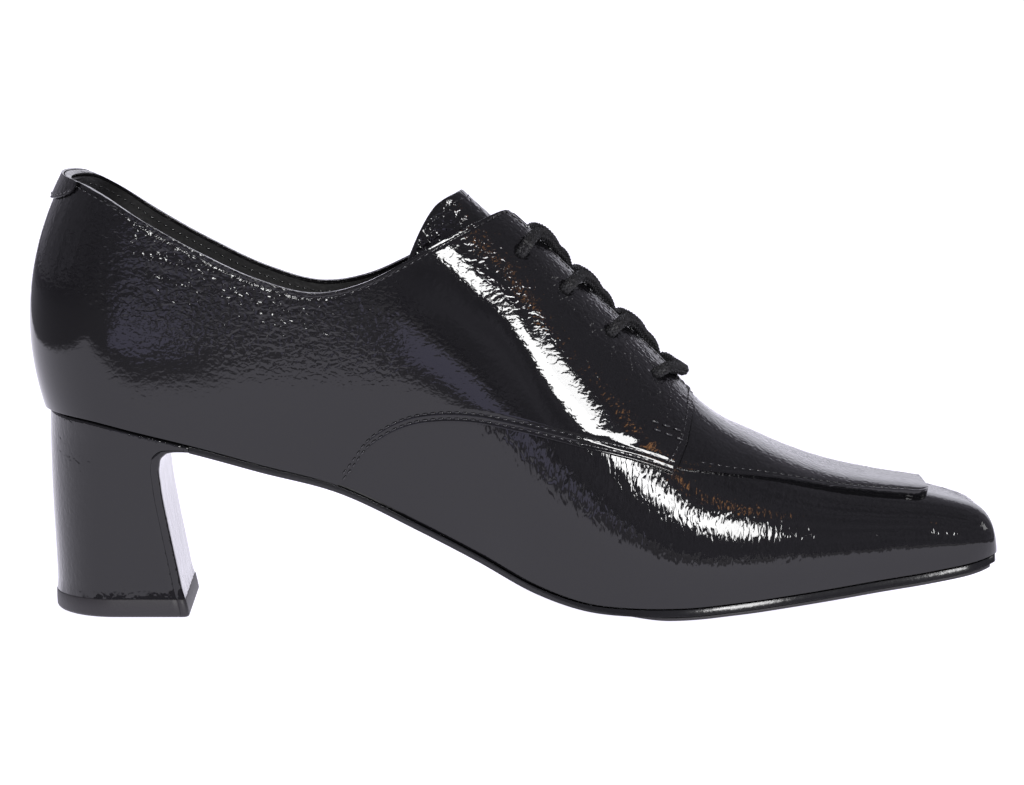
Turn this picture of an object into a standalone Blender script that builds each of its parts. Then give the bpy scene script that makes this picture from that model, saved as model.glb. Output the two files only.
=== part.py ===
"""A women's lace-up pump on a block heel: the left shoe, standing empty on its sole.

The toe points to +X, the inner (big toe) side is -Y and +Z is up. One function, last_point, gives
the outer face of the upper from a table of sections; every other piece is measured from it.
Tables and sizes are in millimetres, and the meshes are in metres.
"""

import math

import bmesh
import bpy
import numpy as np
from mathutils import Matrix, Vector

MM = 0.001
INNER, OUTER = "inner", "outer"

# Driving sizes of the shoe
LENGTH = 246.7
HEEL_ROUND = 30.0  # depth of the round heel end, in plan
TOE_CORNER = 9.0  # radius of the square toe's corners, in plan
TOE_FLAT = 11.0  # half of the toe's straight front edge
TOE_NOSE = 17.7  # length over which the toe's top rolls down to the sole
NOSE_IN, NOSE_OUT = 4.0, 2.7  # powers of the nose's rounded profile
NOSE_END = 0.5  # the height that is left at the toe's front edge
TOE_SKEW = 0.10  # the inner toe corner lies further forward than the outer one
SKEW_START = 200.0  # from here forward
UNDERCUT_POWER = 4.0  # how fast the wall widens above the feather edge

# Place of the shoe's own zero (heel back, heel centre line, floor) in the part's frame
HEEL_BACK_X = -123.96
CENTRE_LINE_Y = -0.34
INSIDE_POINT = (120.0, 0.0, 45.0)  # inside the foot's space
COLLAR_POINT = (30.0, 0.0, 108.0)  # inside the collar, level with the heel tab

# The curve of the heel's back: its deepest point, and how it leans in below and above
BACK_BULGE_Z = 75.0
BACK_LEAN_BELOW = 0.0072
BACK_LEAN_ABOVE = 0.0071
BACK_INSET = 1.4
BACK_FADE = 50.0

# Thicknesses
GAP = 0.3
UPPER_WALL = 1.6
QUARTER_THICK = 1.0
APRON_THICK = 1.4
TAB_THICK = 0.6
TONGUE_THICK = 2.2
INSOLE_THICK = 2.2
SOLE_THICK = 1.7
TREAD_THICK = 0.9
SOLE_LEDGE = 0.8  # the sole shows this far outside the feather edge
SOLE_TOE_INSET = 0.6  # and its front stays this far behind the toe
SOLE_TOE_START = 230.0  # drawn in from here forward

# Sections of the last, from the heel's back to the toe. Half widths are measured from the centre,
# a lower squareness makes a flatter top, and roll tips the top down to the outer side.
SECTION_COLUMNS = (
    "along", "feather_z", "centre_y", "inner_feather", "outer_feather",
    "inner_wide", "outer_wide", "ridge_z", "squareness", "roll",
)
SECTIONS = np.array([
    (0.0, 52.4, 0.0, 25.0, 25.0, 28.5, 28.5, 150.0, 0.60, 0.00),
    (15.0, 51.0, 0.0, 25.0, 25.0, 28.8, 28.8, 150.0, 0.60, 0.00),
    (30.0, 47.8, 0.0, 24.6, 24.8, 29.0, 29.0, 150.0, 0.60, 0.00),
    (45.0, 44.2, 0.0, 24.0, 25.0, 29.3, 29.5, 149.0, 0.60, 0.00),
    (60.0, 39.8, -0.3, 22.0, 25.0, 29.3, 30.2, 147.0, 0.62, 0.00),
    (80.0, 34.0, -1.4, 18.2, 26.2, 28.4, 32.4, 139.0, 0.67, 0.00),
    (100.0, 24.4, -3.0, 16.6, 29.4, 28.0, 36.0, 123.5, 0.72, 0.03),
    (115.0, 17.2, -4.8, 18.6, 33.8, 28.4, 40.0, 109.5, 0.74, 0.05),
    (130.0, 9.9, -6.0, 23.8, 38.6, 30.4, 44.0, 95.8, 0.80, 0.06),
    (142.0, 6.3, -6.2, 27.5, 41.5, 32.3, 46.1, 83.6, 0.90, 0.06),
    (155.0, 5.3, -6.2, 30.6, 43.4, 34.2, 47.4, 71.0, 1.02, 0.06),
    (163.0, 5.4, -6.0, 31.9, 43.5, 35.1, 47.3, 62.8, 1.04, 0.06),
    (167.5, 5.6, -5.8, 32.5, 43.0, 35.5, 46.8, 57.4, 0.98, 0.05),
    (171.5, 5.9, -5.6, 32.8, 42.4, 35.7, 46.0, 53.4, 0.88, 0.04),
    (178.0, 6.6, -5.2, 32.9, 40.6, 35.7, 44.0, 48.3, 0.75, 0.02),
    (185.0, 7.3, -4.8, 32.3, 38.0, 35.1, 41.2, 44.5, 0.65, 0.00),
    (193.0, 8.2, -4.5, 30.8, 34.6, 33.5, 37.5, 40.5, 0.56, 0.00),
    (204.0, 9.4, -4.1, 27.9, 29.9, 30.4, 32.4, 36.2, 0.48, 0.00),
    (217.0, 11.0, -4.0, 23.9, 24.9, 26.1, 27.1, 33.1, 0.43, 0.00),
    (229.0, 12.5, -4.0, 20.6, 21.2, 22.5, 23.1, 31.3, 0.41, 0.00),
    (240.0, 14.5, -4.0, 18.2, 18.6, 19.8, 20.2, 30.9, 0.40, 0.00),
    (248.0, 16.7, -4.0, 16.6, 17.0, 18.0, 18.4, 30.1, 0.40, 0.00),
])

# The collar's top line on the inner side, and how much lower the outer side is
TOPLINE_COLUMNS = ("along", "height", "outer_drop")
TOPLINE = np.array([
    (0.0, 111.4, 0.0),
    (8.0, 110.8, 0.5),
    (17.0, 108.4, 1.4),
    (32.0, 101.2, 2.2),
    (45.0, 94.4, 2.4),
    (60.0, 87.5, 2.6),
    (75.0, 84.0, 3.0),
    (87.0, 86.6, 3.6),
    (97.0, 91.5, 3.8),
    (108.0, 97.2, 3.2),
    (118.0, 101.6, 2.2),
    (128.0, 104.6, 1.6),
])

# The lacing gap between the facings, from its front end to the facings' top corners
THROAT_FRONT = 163.0
THROAT_BACK = 97.0  # behind this the wall ends at the collar alone
FACING_FRONT = 169.5
THROAT_GAP_COLUMNS = ("along", INNER, OUTER)
THROAT_GAP = np.array([
    (118.0, 6.5, 10.5), (130.0, 4.4, 8.6), (145.0, 3.6, 7.6), (163.0, 3.2, 7.0), (172.0, 3.0, 6.8),
])
FACING_CORNER = 0.05  # rounding of the facing's top corner, in radians of the section

FACING_PLACES = (166.0, 168.0, 171.0)  # the quarter's last sections, past the throat
QUARTER_LIFT = 1.6  # its lower edge stays this far over the feather edge
BACK_SEAM = 0.001  # the quarters' back edges start here, which keeps them apart

# Lower edge of the quarter, from the waist forward to the facing's front corner, then up it
QUARTER_EDGE_COLUMNS = ("along", "height")
QUARTER_EDGE = np.array([
    (83.0, 37.6), (87.0, 43.3), (92.0, 47.2), (98.0, 50.0), (105.0, 51.3),
    (113.5, 51.4), (126.0, 49.3), (141.0, 45.6), (156.0, 41.6), (164.4, 38.6),
])
FACING_EDGE = np.array([(165.6, 40.6), (167.6, 45.5), (168.7, 51.0), (169.4, 57.0), (169.2, 66.0)])

# Edge of the raised apron: along the foot, and its half width on the inner and outer side
APRON_COLUMNS = ("along", "inner", "outer")
APRON_EDGE = np.array([
    (166.0, 27.2, 33.0), (172.0, 26.6, 31.4), (181.0, 25.4, 28.8), (197.0, 21.6, 23.2),
    (212.0, 17.6, 18.4), (224.0, 14.6, 15.0),
])
APRON_FRONT = 229.6
APRON_CORNER = 5.0
APRON_BLANK = (158.0, 240.0)  # the panel is cut from a form between these places
APRON_CLEAR = 0.7  # the apron's back edge stays this far in front of the facings

# Heel tab: how far it reaches round the collar, how far it hangs down, and its edge's height
TAB_REACH = 8.5
TAB_DROP = 5.5
TAB_EDGE = 0.9
TAB_STEPS = 10

# Tongue: how deep it lies under the upper's outer face, its half width, and how much deeper its
# sides lie
TONGUE_COLUMNS = ("along", "depth", "half_width", "side_drop")
TONGUE = np.array([
    (96.0, 4.0, 23.5, 9.0),
    (110.0, 3.6, 23.0, 9.0),
    (119.0, 3.5, 21.0, 5.0),
    (130.0, 3.4, 18.5, 1.5),
    (145.0, 3.2, 16.0, 0.3),
    (158.0, 2.7, 14.5, 0.0),
    (166.0, 2.2, 12.5, 0.0),
])
TONGUE_TOP = 113.5
TONGUE_SWEEP = {INNER: 17.0, OUTER: 5.0}  # its top edge sweeps back this far at its sides
TONGUE_FRONT = 165.5

# Heel: height share, back line, breast line, half width, and share of the length that is round
HEEL_COLUMNS = ("share", "back", "breast", "half_width", "round")
HEEL = np.array([
    (0.00, 6.7, 40.4, 20.6, 0.46),
    (0.20, 6.3, 38.8, 20.9, 0.48),
    (0.45, 5.7, 36.7, 21.6, 0.53),
    (0.70, 5.2, 34.8, 22.7, 0.61),
    (0.84, 4.9, 34.6, 23.5, 0.67),
    (0.92, 4.7, 36.4, 24.0, 0.72),
    (0.97, 4.6, 39.4, 24.3, 0.76),
    (1.00, 4.6, 43.0, 24.4, 0.785),
])
HEEL_BACK_TURN = 0.2  # a small flat at the back of the heel, in radians of its round end
TOP_PIECE_HEIGHT = 4.8
TOP_PIECE_SLOPE = 0.25  # its front follows the slope of the heel's breast
HEEL_BOTTOM = TOP_PIECE_HEIGHT
TOP_PIECE_LEDGE = 0.4
TOP_PIECE_LEVELS = np.array([(0.0, 0.9), (0.8, 0.1), (TOP_PIECE_HEIGHT, 0.0)])  # height, inset
SOLE_BACK = 43.4
MOST_LEAN = 2.0  # limits how far an edge drawn out or in moves across, where the outline turns

# The sole's underside is crowned across the foot: the table gives how far its middle hangs down
CROWN_COLUMNS = ("along", "crown")
CROWN = np.array([
    (0.0, 0.0), (100.0, 0.0), (130.0, 1.0), (145.0, 2.2), (155.0, 2.5), (165.0, 2.6), (175.0, 2.5),
    (205.0, 1.6), (248.0, 0.3),
])
TREAD_BACK = 150.0
TREAD_FRONT = 245.0
TREAD_INSET = 1.2
INSOLE_INSET = 2.5  # at its sides
INSOLE_END_INSET = 5.0  # at heel and toe

# Lacing: eyelet rows from the toe end up, as place along the foot
EYELET_ROWS = (160.0, 148.5, 137.0, 126.0)
EYELET_SETBACK = 9.5  # across, from the facing's edge
EYELET_RADIUS = 1.9
LACE_RADIUS = 1.45
LACE_DIVE_FORWARD = 13.0  # a crossing cord dives beside the other facing this far in front of its eyelet
LACE_BAR_BOW = 5.5  # the bottom bar bows forward this far
LACE_MIDDLE_LIFT = 0.6
LACE_DIVE_LIFT = -0.8
LACE_EDGE_CLEAR = 0.7

# Number of steps of the sections along the foot (from, to, steps, gather) and of each wall
HEEL_END, TOE_END = "heel", "toe"
STATION_RUNS = (
    (0.0, HEEL_ROUND, 6, HEEL_END),
    (HEEL_ROUND, 156.0, 17, None),
    (156.0, 174.0, 6, None),
    (174.0, LENGTH - TOE_NOSE, 7, None),
    (LENGTH - TOE_NOSE, LENGTH, 6, TOE_END),
)
WALL_STEPS = 9

PATENT_BLACK = (0.012, 0.012, 0.014)
LINING_BLACK = (0.03, 0.028, 0.028)
LACE_BLACK = (0.02, 0.02, 0.021)
RUBBER_BLACK = (0.035, 0.033, 0.034)


def column(table, names, name, at):
    """Smooth curve through one column of a table, read at one place or an array of places."""
    xs, ys = table[:, 0], table[:, names.index(name)]
    at = np.asarray(at, float)
    slopes = np.gradient(ys, xs)
    i = np.clip(np.searchsorted(xs, at) - 1, 0, len(xs) - 2)
    step = xs[i + 1] - xs[i]
    t = np.clip((at - xs[i]) / step, 0.0, 1.0)
    start = ys[i] * (1 + 2 * t) * (1 - t) ** 2 + step * slopes[i] * t * (1 - t) ** 2
    end = ys[i + 1] * t * t * (3 - 2 * t) - step * slopes[i + 1] * t * t * (1 - t)
    return start + end


def section(name, along):
    return column(SECTIONS, SECTION_COLUMNS, name, along)


def plan_half_width(kind, side, along):
    """Half width of the feather edge or of the widest line, with round heel and square toe."""
    width = section(f"{side}_{kind}", along)
    heel = np.clip(1 - along / HEEL_ROUND, 0.0, 1.0)
    corner = np.clip((along - (LENGTH - TOE_CORNER)) / TOE_CORNER, 0.0, 1.0)
    lost = section(f"{side}_{kind}", LENGTH) - TOE_FLAT
    return width * np.sqrt(1 - heel**2) - lost * (1 - np.sqrt(1 - corner**2))


def ridge_rise(along):
    """Height of the ridge over the feather edge, rolling down to nothing at the toe's front."""
    nose = np.clip((along - (LENGTH - TOE_NOSE)) / TOE_NOSE, 0.0, 1.0)
    rise = section("ridge_z", along) - section("feather_z", along)
    return NOSE_END + (rise - NOSE_END) * (1 - nose**NOSE_IN) ** (1 / NOSE_OUT)


def back_curve(height):
    """How far the heel's back lies in front of its deepest point."""
    under = np.clip(BACK_BULGE_Z - height, 0.0, None)
    over = np.clip(height - BACK_BULGE_Z, 0.0, None)
    return BACK_INSET + BACK_LEAN_BELOW * under**2 + BACK_LEAN_ABOVE * over**2


def plan_x(along, y, z):
    """Place along X: the heel's back curve and the skewed toe, added to the section's place."""
    heel = np.clip(1 - along / BACK_FADE, 0.0, 1.0) ** 2
    toe = np.clip((along - SKEW_START) / (LENGTH - SKEW_START), 0.0, 1.0) ** 2
    return along + back_curve(z) * heel - TOE_SKEW * (y - section("centre_y", along)) * toe


def last_point(along, angle, side):
    """Outer face of the upper. Angle runs from the feather edge (0) to the ridge (a quarter turn)."""
    along, angle = np.broadcast_arrays(np.asarray(along, float), np.asarray(angle, float))
    sine = np.sin(angle)
    cosine = np.clip(np.cos(angle), 0.0, 1.0)
    wide = plan_half_width("wide", side, along)
    feather = plan_half_width("feather", side, along)
    width = wide - (wide - feather) * (1 - sine) ** UNDERCUT_POWER
    out = width * cosine ** section("squareness", along)
    across = -out if side == INNER else out
    y = section("centre_y", along) + across
    z = section("feather_z", along) + ridge_rise(along) * sine
    z = z - section("roll", along) * across * sine**2
    return np.stack([plan_x(along, y, z), y, z], axis=-1)


def face_point(along, angle, side, lift):
    """A point lifted off the outer face along its normal; lift may be negative."""
    along, angle = np.broadcast_arrays(np.asarray(along, float), np.asarray(angle, float))
    step_along, step_angle = 0.05, 0.004
    before = last_point(np.clip(along - step_along, 0, LENGTH), angle, side)
    after = last_point(np.clip(along + step_along, 0, LENGTH), angle, side)
    below = last_point(along, np.clip(angle - step_angle, 0, math.pi / 2), side)
    above = last_point(along, np.clip(angle + step_angle, 0, math.pi / 2), side)
    normal = np.cross(after - before, above - below)
    normal /= np.linalg.norm(normal, axis=-1, keepdims=True)
    return last_point(along, angle, side) + normal * lift * (1 if side == INNER else -1)


def angle_at_height(along, height):
    share = (height - section("feather_z", along)) / np.maximum(ridge_rise(along), 1e-6)
    return np.arcsin(np.clip(share, 0.0, 1.0))


def angle_at_offset(along, offset, side):
    """Angle where the section is this far from its centre, near the ridge."""
    half_width = np.maximum(plan_half_width("wide", side, along), 1e-6)
    share = np.clip(offset / half_width, 0.0, 1.0)
    return np.arccos(share ** (1 / section("squareness", along)))


def facing_edge(along, side):
    """Distance of a facing's edge from the ridge."""
    return column(THROAT_GAP, THROAT_GAP_COLUMNS, side, along)


def top_angle(along, side):
    """Where the wall ends: at the collar's top line, the facing's edge, or the ridge."""
    along = np.asarray(along, float)
    height = column(TOPLINE, TOPLINE_COLUMNS, "height", along)
    if side == OUTER:
        height = height - column(TOPLINE, TOPLINE_COLUMNS, "outer_drop", along)
    collar = angle_at_height(along, height)
    facing = angle_at_offset(along, facing_edge(along, side), side)
    apart = np.clip((collar - facing) / FACING_CORNER, -30, 30)
    edge = facing - FACING_CORNER * np.log1p(np.exp(-apart))
    collar_only = along < THROAT_BACK
    edge = np.where(collar_only, collar, np.minimum(edge, collar))
    return np.where(along > THROAT_FRONT, math.pi / 2, edge)


def stations():
    """Places of the sections along the foot, gathered at the heel's and toe's ends."""
    places = [0.0]
    for start, end, steps, gather in STATION_RUNS:
        t = np.arange(1, steps + 1) / steps
        if gather == HEEL_END:
            t = 1 - np.cos(t * math.pi / 2)
        if gather == TOE_END:
            t = np.sin(t * math.pi / 2)
        places.extend(start + (end - start) * t)
    return np.array(places)


def to_frame(point):
    """Millimetres from the heel's back to metres in the part's frame."""
    return Vector(((point[0] + HEEL_BACK_X) * MM, (point[1] - CENTRE_LINE_Y) * MM, point[2] * MM))


def clear_scene():
    for thing in list(bpy.data.objects):
        bpy.data.objects.remove(thing)


def new_collection(name):
    collection = bpy.data.collections.new(name)
    bpy.context.scene.collection.children.link(collection)
    return collection


def new_material(name, colour, roughness, coat=0.0):
    material = bpy.data.materials.new(name)
    material.use_nodes = True
    shader = material.node_tree.nodes["Principled BSDF"]
    shader.inputs["Base Color"].default_value = (*colour, 1.0)
    shader.inputs["Roughness"].default_value = roughness
    shader.inputs["Coat Weight"].default_value = coat
    return material


def new_object(name, mesh_data, material, collection):
    thing = bpy.data.objects.new(name, mesh_data)
    own = material.copy()
    own.name = f"{name}_{material.name}"
    thing.data.materials.append(own)
    collection.objects.link(thing)
    return thing


def mesh_from(name, shape):
    data = bpy.data.meshes.new(name)
    shape.to_mesh(data)
    shape.free()
    data.shade_smooth()
    data.set_sharp_from_angle(angle=math.radians(40))
    return data


def add_sheet(shape, rows, columns, place):
    """A grid of rows and columns laid on a surface: place takes a row and a column number."""
    made = bmesh.ops.create_grid(
        shape, x_segments=columns, y_segments=rows, size=0.5, matrix=Matrix.Identity(4)
    )
    for vertex in made["verts"]:
        row = round((vertex.co.y + 0.5) * rows)
        col = round((vertex.co.x + 0.5) * columns)
        vertex.co = to_frame(place(row, col))
    return made["verts"]


def add_block(shape, rows, columns, levels, place):
    """A solid drawn up level by level from a grid: place takes row, column and level numbers."""
    bottom = bmesh.ops.create_grid(
        shape, x_segments=columns, y_segments=rows, size=0.5, matrix=Matrix.Identity(4)
    )
    numbers = {}
    for vertex in bottom["verts"]:
        numbers[vertex] = (
            round((vertex.co.y + 0.5) * rows),
            round((vertex.co.x + 0.5) * columns),
        )
        vertex.co = to_frame(place(*numbers[vertex], 0))
    top_faces = list(shape.faces)
    for level in range(1, levels):
        by_place = {tuple(v.co): numbers[v] for f in top_faces for v in f.verts}
        drawn = bmesh.ops.extrude_face_region(shape, geom=top_faces)["geom"]
        for vertex in (g for g in drawn if isinstance(g, bmesh.types.BMVert)):
            numbers[vertex] = by_place[tuple(vertex.co)]
            vertex.co = to_frame(place(*numbers[vertex], level))
        if level > 1:
            bmesh.ops.delete(shape, geom=top_faces, context="FACES")
        top_faces = [g for g in drawn if isinstance(g, bmesh.types.BMFace)]
    bmesh.ops.recalc_face_normals(shape, faces=shape.faces)


def solidify(thing, thickness):
    """Gives an open face its thickness on the inside."""
    modifier = thing.modifiers.new("wall", "SOLIDIFY")
    modifier.thickness = thickness * MM
    modifier.offset = -1.0
    modifier.use_even_offset = True


def split_faces(thing):
    """Splits the faces of all walls the same way, so that layers lie evenly over each other."""
    modifier = thing.modifiers.new("split", "TRIANGULATE")
    modifier.quad_method = "FIXED"


def cut(thing, cutter, operation="DIFFERENCE"):
    modifier = thing.modifiers.new(cutter.name, "BOOLEAN")
    modifier.operation = operation
    modifier.object = cutter


def prism(name, outline, to_point, low, high, collection):
    """A cutter: a flat outline drawn out between two planes."""
    shape = bmesh.new()
    corners = [shape.verts.new(to_frame(to_point(a, b, low))) for a, b in outline]
    face = shape.faces.new(corners)
    drawn = bmesh.ops.extrude_face_region(shape, geom=[face])["geom"]
    travel = to_frame(to_point(0, 0, high)) - to_frame(to_point(0, 0, low))
    bmesh.ops.translate(
        shape, verts=[g for g in drawn if isinstance(g, bmesh.types.BMVert)], vec=travel
    )
    bmesh.ops.recalc_face_normals(shape, faces=shape.faces)
    data = bpy.data.meshes.new(name)
    shape.to_mesh(data)
    shape.free()
    thing = bpy.data.objects.new(name, data)
    thing.hide_render = True
    thing.display_type = "WIRE"
    collection.objects.link(thing)
    return thing


def wall_sheet(shape, side, places, lift, high):
    """One side of the upper, lifted off its face: a row for each place, from the feather edge up.
    Returns the spot of each vertex."""
    spots = {}

    def place(row, col):
        spots[row, col] = (places[row], high(places[row]) * col / WALL_STEPS, side)
        return face_point(*spots[row, col], lift)

    add_sheet(shape, len(places) - 1, WALL_STEPS, place)
    return {tuple(to_frame(face_point(*spot, lift))): spot for spot in spots.values()}


def thicken(shape, spots, lift):
    """Draws a welded wall in to its inner face, which lies at another lift."""
    bmesh.ops.remove_doubles(shape, verts=shape.verts, dist=0.02 * MM)
    drawn = bmesh.ops.extrude_face_region(shape, geom=list(shape.faces))["geom"]
    for vertex in (g for g in drawn if isinstance(g, bmesh.types.BMVert)):
        vertex.co = to_frame(face_point(*spots[tuple(vertex.co)], lift))
    bmesh.ops.recalc_face_normals(shape, faces=shape.faces)


def face_outward(shape, side_point):
    """Turns an open surface so that its faces look away from a point inside it."""
    bmesh.ops.recalc_face_normals(shape, faces=shape.faces)
    inside = to_frame(side_point)
    outward = sum((f.calc_center_median() - inside).dot(f.normal) * f.calc_area() for f in shape.faces)
    if outward < 0:
        bmesh.ops.reverse_faces(shape, faces=shape.faces)


def make_upper(material, collection):
    """The hollow upper: both walls joined over the vamp and round the heel, open at collar,
    throat and sole."""
    shape = bmesh.new()
    spots = {}
    for side in (INNER, OUTER):
        spots |= wall_sheet(shape, side, stations(), 0.0, lambda along: top_angle(along, side))
    thicken(shape, spots, -UPPER_WALL)
    thing = new_object("upper", mesh_from("upper", shape), material, collection)
    split_faces(thing)
    return thing


def side_view(x, z, y):
    return (x, y, z)


def plan_view(x, y, z):
    return (x, y, z)


def vamp_cutter(side, collection):
    """All that lies below the quarter's lower edge and in front of the facing."""
    along = np.linspace(0.0, QUARTER_EDGE[0, 0] - 4.0, 12)
    height = section("feather_z", along) + QUARTER_LIFT
    bottom = list(zip(plan_x(along, 0.0, height), height))
    behind, ahead, low, high = -20.0, LENGTH + 20.0, -20.0, FACING_EDGE[-1, 1] + 40.0
    edge = [(behind, low), (behind, height[0]), *bottom, *QUARTER_EDGE, *FACING_EDGE]
    outline = [*edge, (FACING_EDGE[-1, 0], high), (ahead, high), (ahead, low)]
    middle = section("centre_y", FACING_FRONT)
    reach = (-70.0, middle) if side == INNER else (middle, 70.0)
    return prism(f"vamp_cut_{side}", outline, side_view, *reach, collection)


def make_quarter(side, material, collection, cutters):
    """The quarter with its facing, laid over the upper from the heel seam to the lacing."""
    shape = bmesh.new()
    places = np.array([p for p in stations() if p <= THROAT_FRONT])
    places = np.append(places, FACING_PLACES)
    places[0] = BACK_SEAM

    def top(along):
        if along <= THROAT_FRONT:
            return top_angle(along, side)
        return angle_at_offset(along, facing_edge(along, side), side)

    spots = wall_sheet(shape, side, places, GAP + QUARTER_THICK, top)
    thicken(shape, spots, GAP)
    name = f"quarter_{side}"
    thing = new_object(name, mesh_from(name, shape), material, collection)
    split_faces(thing)
    cut(thing, vamp_cutter(side, cutters))
    return thing


def apron_outline():
    """Plan outline of the apron: along both edges, round the front, and back behind the facings."""
    edges = {}
    for side, sign in ((INNER, -1), (OUTER, 1)):
        along = np.linspace(APRON_EDGE[0, 0], APRON_FRONT - APRON_CORNER, 9)
        out = column(APRON_EDGE, APRON_COLUMNS, side, along)
        edge = [(a, section("centre_y", a) + sign * w) for a, w in zip(along, out)]
        tip = edge[-1][1] - sign * APRON_CORNER
        for turn in np.radians((30, 60, 90)):
            x = APRON_FRONT - APRON_CORNER * (1 - math.sin(turn))
            edge.append((x, tip + sign * APRON_CORNER * math.cos(turn)))
        back = []
        for x, z in FACING_EDGE[1:-1]:
            y = last_point(x, angle_at_height(x, z), side)[1]
            back.append((x + APRON_CLEAR, y))
        edges[side] = [p for p in edge if p[0] > back[0][0]], back
    inner, inner_back = edges[INNER]
    outer, outer_back = edges[OUTER]
    return inner + outer[::-1] + outer_back + inner_back[::-1]


def make_apron(material, collection, cutters):
    """The raised panel on the vamp, cut from a form that lies over the upper."""
    shape = bmesh.new()
    low, high = APRON_BLANK
    places = np.array([p for p in stations() if low < p < high])
    spots = {}
    for side in (INNER, OUTER):
        spots |= wall_sheet(shape, side, places, GAP + APRON_THICK, lambda along: math.pi / 2)
    thicken(shape, spots, GAP)
    thing = new_object("apron", mesh_from("apron", shape), material, collection)
    split_faces(thing)
    outline = prism("apron_outline", apron_outline(), plan_view, 20.0, 80.0, cutters)
    cut(thing, outline, "INTERSECT")
    return thing


def make_heel_tab(material, collection):
    """The leaf over the back of the collar."""
    shape = bmesh.new()

    def place(row, col):
        across = 2 * row / TAB_STEPS - 1
        side = INNER if across < 0 else OUTER
        along = TAB_REACH * across**2
        high = column(TOPLINE, TOPLINE_COLUMNS, "height", along)
        if side == OUTER:
            high = high - column(TOPLINE, TOPLINE_COLUMNS, "outer_drop", along)
        low = high - TAB_EDGE - TAB_DROP * math.sqrt(max(1 - across**2, 0.0))
        angle = angle_at_height(along, low + (high - low) * col / 4)
        return face_point(along, angle, side, 2 * GAP + QUARTER_THICK + TAB_THICK)

    add_sheet(shape, TAB_STEPS, 4, place)
    face_outward(shape, COLLAR_POINT)
    thing = new_object("heel_tab", mesh_from("heel_tab", shape), material, collection)
    solidify(thing, TAB_THICK)
    return thing


def make_tongue(material, collection):
    """The tongue under the facings; its top edge sweeps back at both sides."""
    shape = bmesh.new()
    rows, columns = 14, 10

    def place(row, col):
        across = 2 * col / columns - 1
        side = INNER if across < 0 else OUTER
        top = TONGUE_TOP - TONGUE_SWEEP[side] * abs(across) ** 2.2
        along = TONGUE_FRONT + (top - TONGUE_FRONT) * row / rows
        half_width = column(TONGUE, TONGUE_COLUMNS, "half_width", along)
        angle = angle_at_offset(along, abs(across) * half_width, side)
        depth = column(TONGUE, TONGUE_COLUMNS, "depth", along)
        side_drop = column(TONGUE, TONGUE_COLUMNS, "side_drop", along)
        depth = depth + side_drop * abs(across) ** 1.3
        return face_point(along, angle, side, -depth)

    add_sheet(shape, rows, columns, place)
    face_outward(shape, INSIDE_POINT)
    thing = new_object("tongue", mesh_from("tongue", shape), material, collection)
    solidify(thing, TONGUE_THICK)
    return thing


def sole_point(along, across, grow, drop):
    """A point under the foot: across runs from -1 (inner edge) to 1, drop is below the feather."""
    side = INNER if across < 0 else OUTER
    crown = column(CROWN, CROWN_COLUMNS, "crown", along)
    ahead, behind = min(along + 0.5, LENGTH), max(along - 0.5, 0.0)
    change = plan_half_width("feather", side, ahead) - plan_half_width("feather", side, behind)
    lean = min(math.hypot(1.0, change / (ahead - behind)), MOST_LEAN)
    half_width = plan_half_width("feather", side, along) + grow * lean
    y = section("centre_y", along) + across * half_width
    z = section("feather_z", along) - crown * (1 - across**2) - drop
    toe = np.clip((along - SOLE_TOE_START) / (LENGTH - SOLE_TOE_START), 0.0, 1.0) ** 3
    return (plan_x(along, y, z) - SOLE_TOE_INSET * toe, y, z)


def make_outsole(material, collection):
    shape = bmesh.new()
    places = np.array([SOLE_BACK, *[p for p in stations() if p > SOLE_BACK + 3]])
    columns = 6

    def place(row, col, level):
        drop = GAP + (SOLE_THICK if level == 0 else 0.0)
        return sole_point(places[row], 2 * col / columns - 1, SOLE_LEDGE, drop)

    add_block(shape, len(places) - 1, columns, 2, place)
    return new_object("outsole", mesh_from("outsole", shape), material, collection)


def make_tread(material, collection):
    """The wearing layer under the forefoot, flat on the floor under the ball."""
    shape = bmesh.new()
    inner = [p for p in stations() if TREAD_BACK + 2 < p < TREAD_FRONT - 2]
    places = np.array([TREAD_BACK, *inner, TREAD_FRONT])
    columns = 8

    def place(row, col, level):
        drop = 2 * GAP + SOLE_THICK + (TREAD_THICK if level == 0 else 0.0)
        x, y, z = sole_point(places[row], 2 * col / columns - 1, SOLE_LEDGE - TREAD_INSET, drop)
        return (x, y, max(z, 0.0))

    add_block(shape, len(places) - 1, columns, 2, place)
    return new_object("forefoot_tread", mesh_from("forefoot_tread", shape), material, collection)


def make_insole(material, collection):
    shape = bmesh.new()
    places = stations()
    columns = 3

    def place(row, col, level):
        drop = -INSOLE_THICK if level else 0.0
        along = INSOLE_END_INSET + (LENGTH - 2 * INSOLE_END_INSET) * places[row] / LENGTH
        x, y, z = sole_point(along, 2 * col / columns - 1, -INSOLE_INSET, drop)
        return (x, y, z)

    add_block(shape, len(places) - 1, columns, 2, place)
    return new_object("insole", mesh_from("insole", shape), material, collection)


def seat_height(x):
    """Height of the heel's top face, just under the feather edge."""
    along = np.linspace(0.0, 60.0, 61)
    height = section("feather_z", along)
    return np.interp(x, plan_x(along, 0.0, height), height) - GAP


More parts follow.
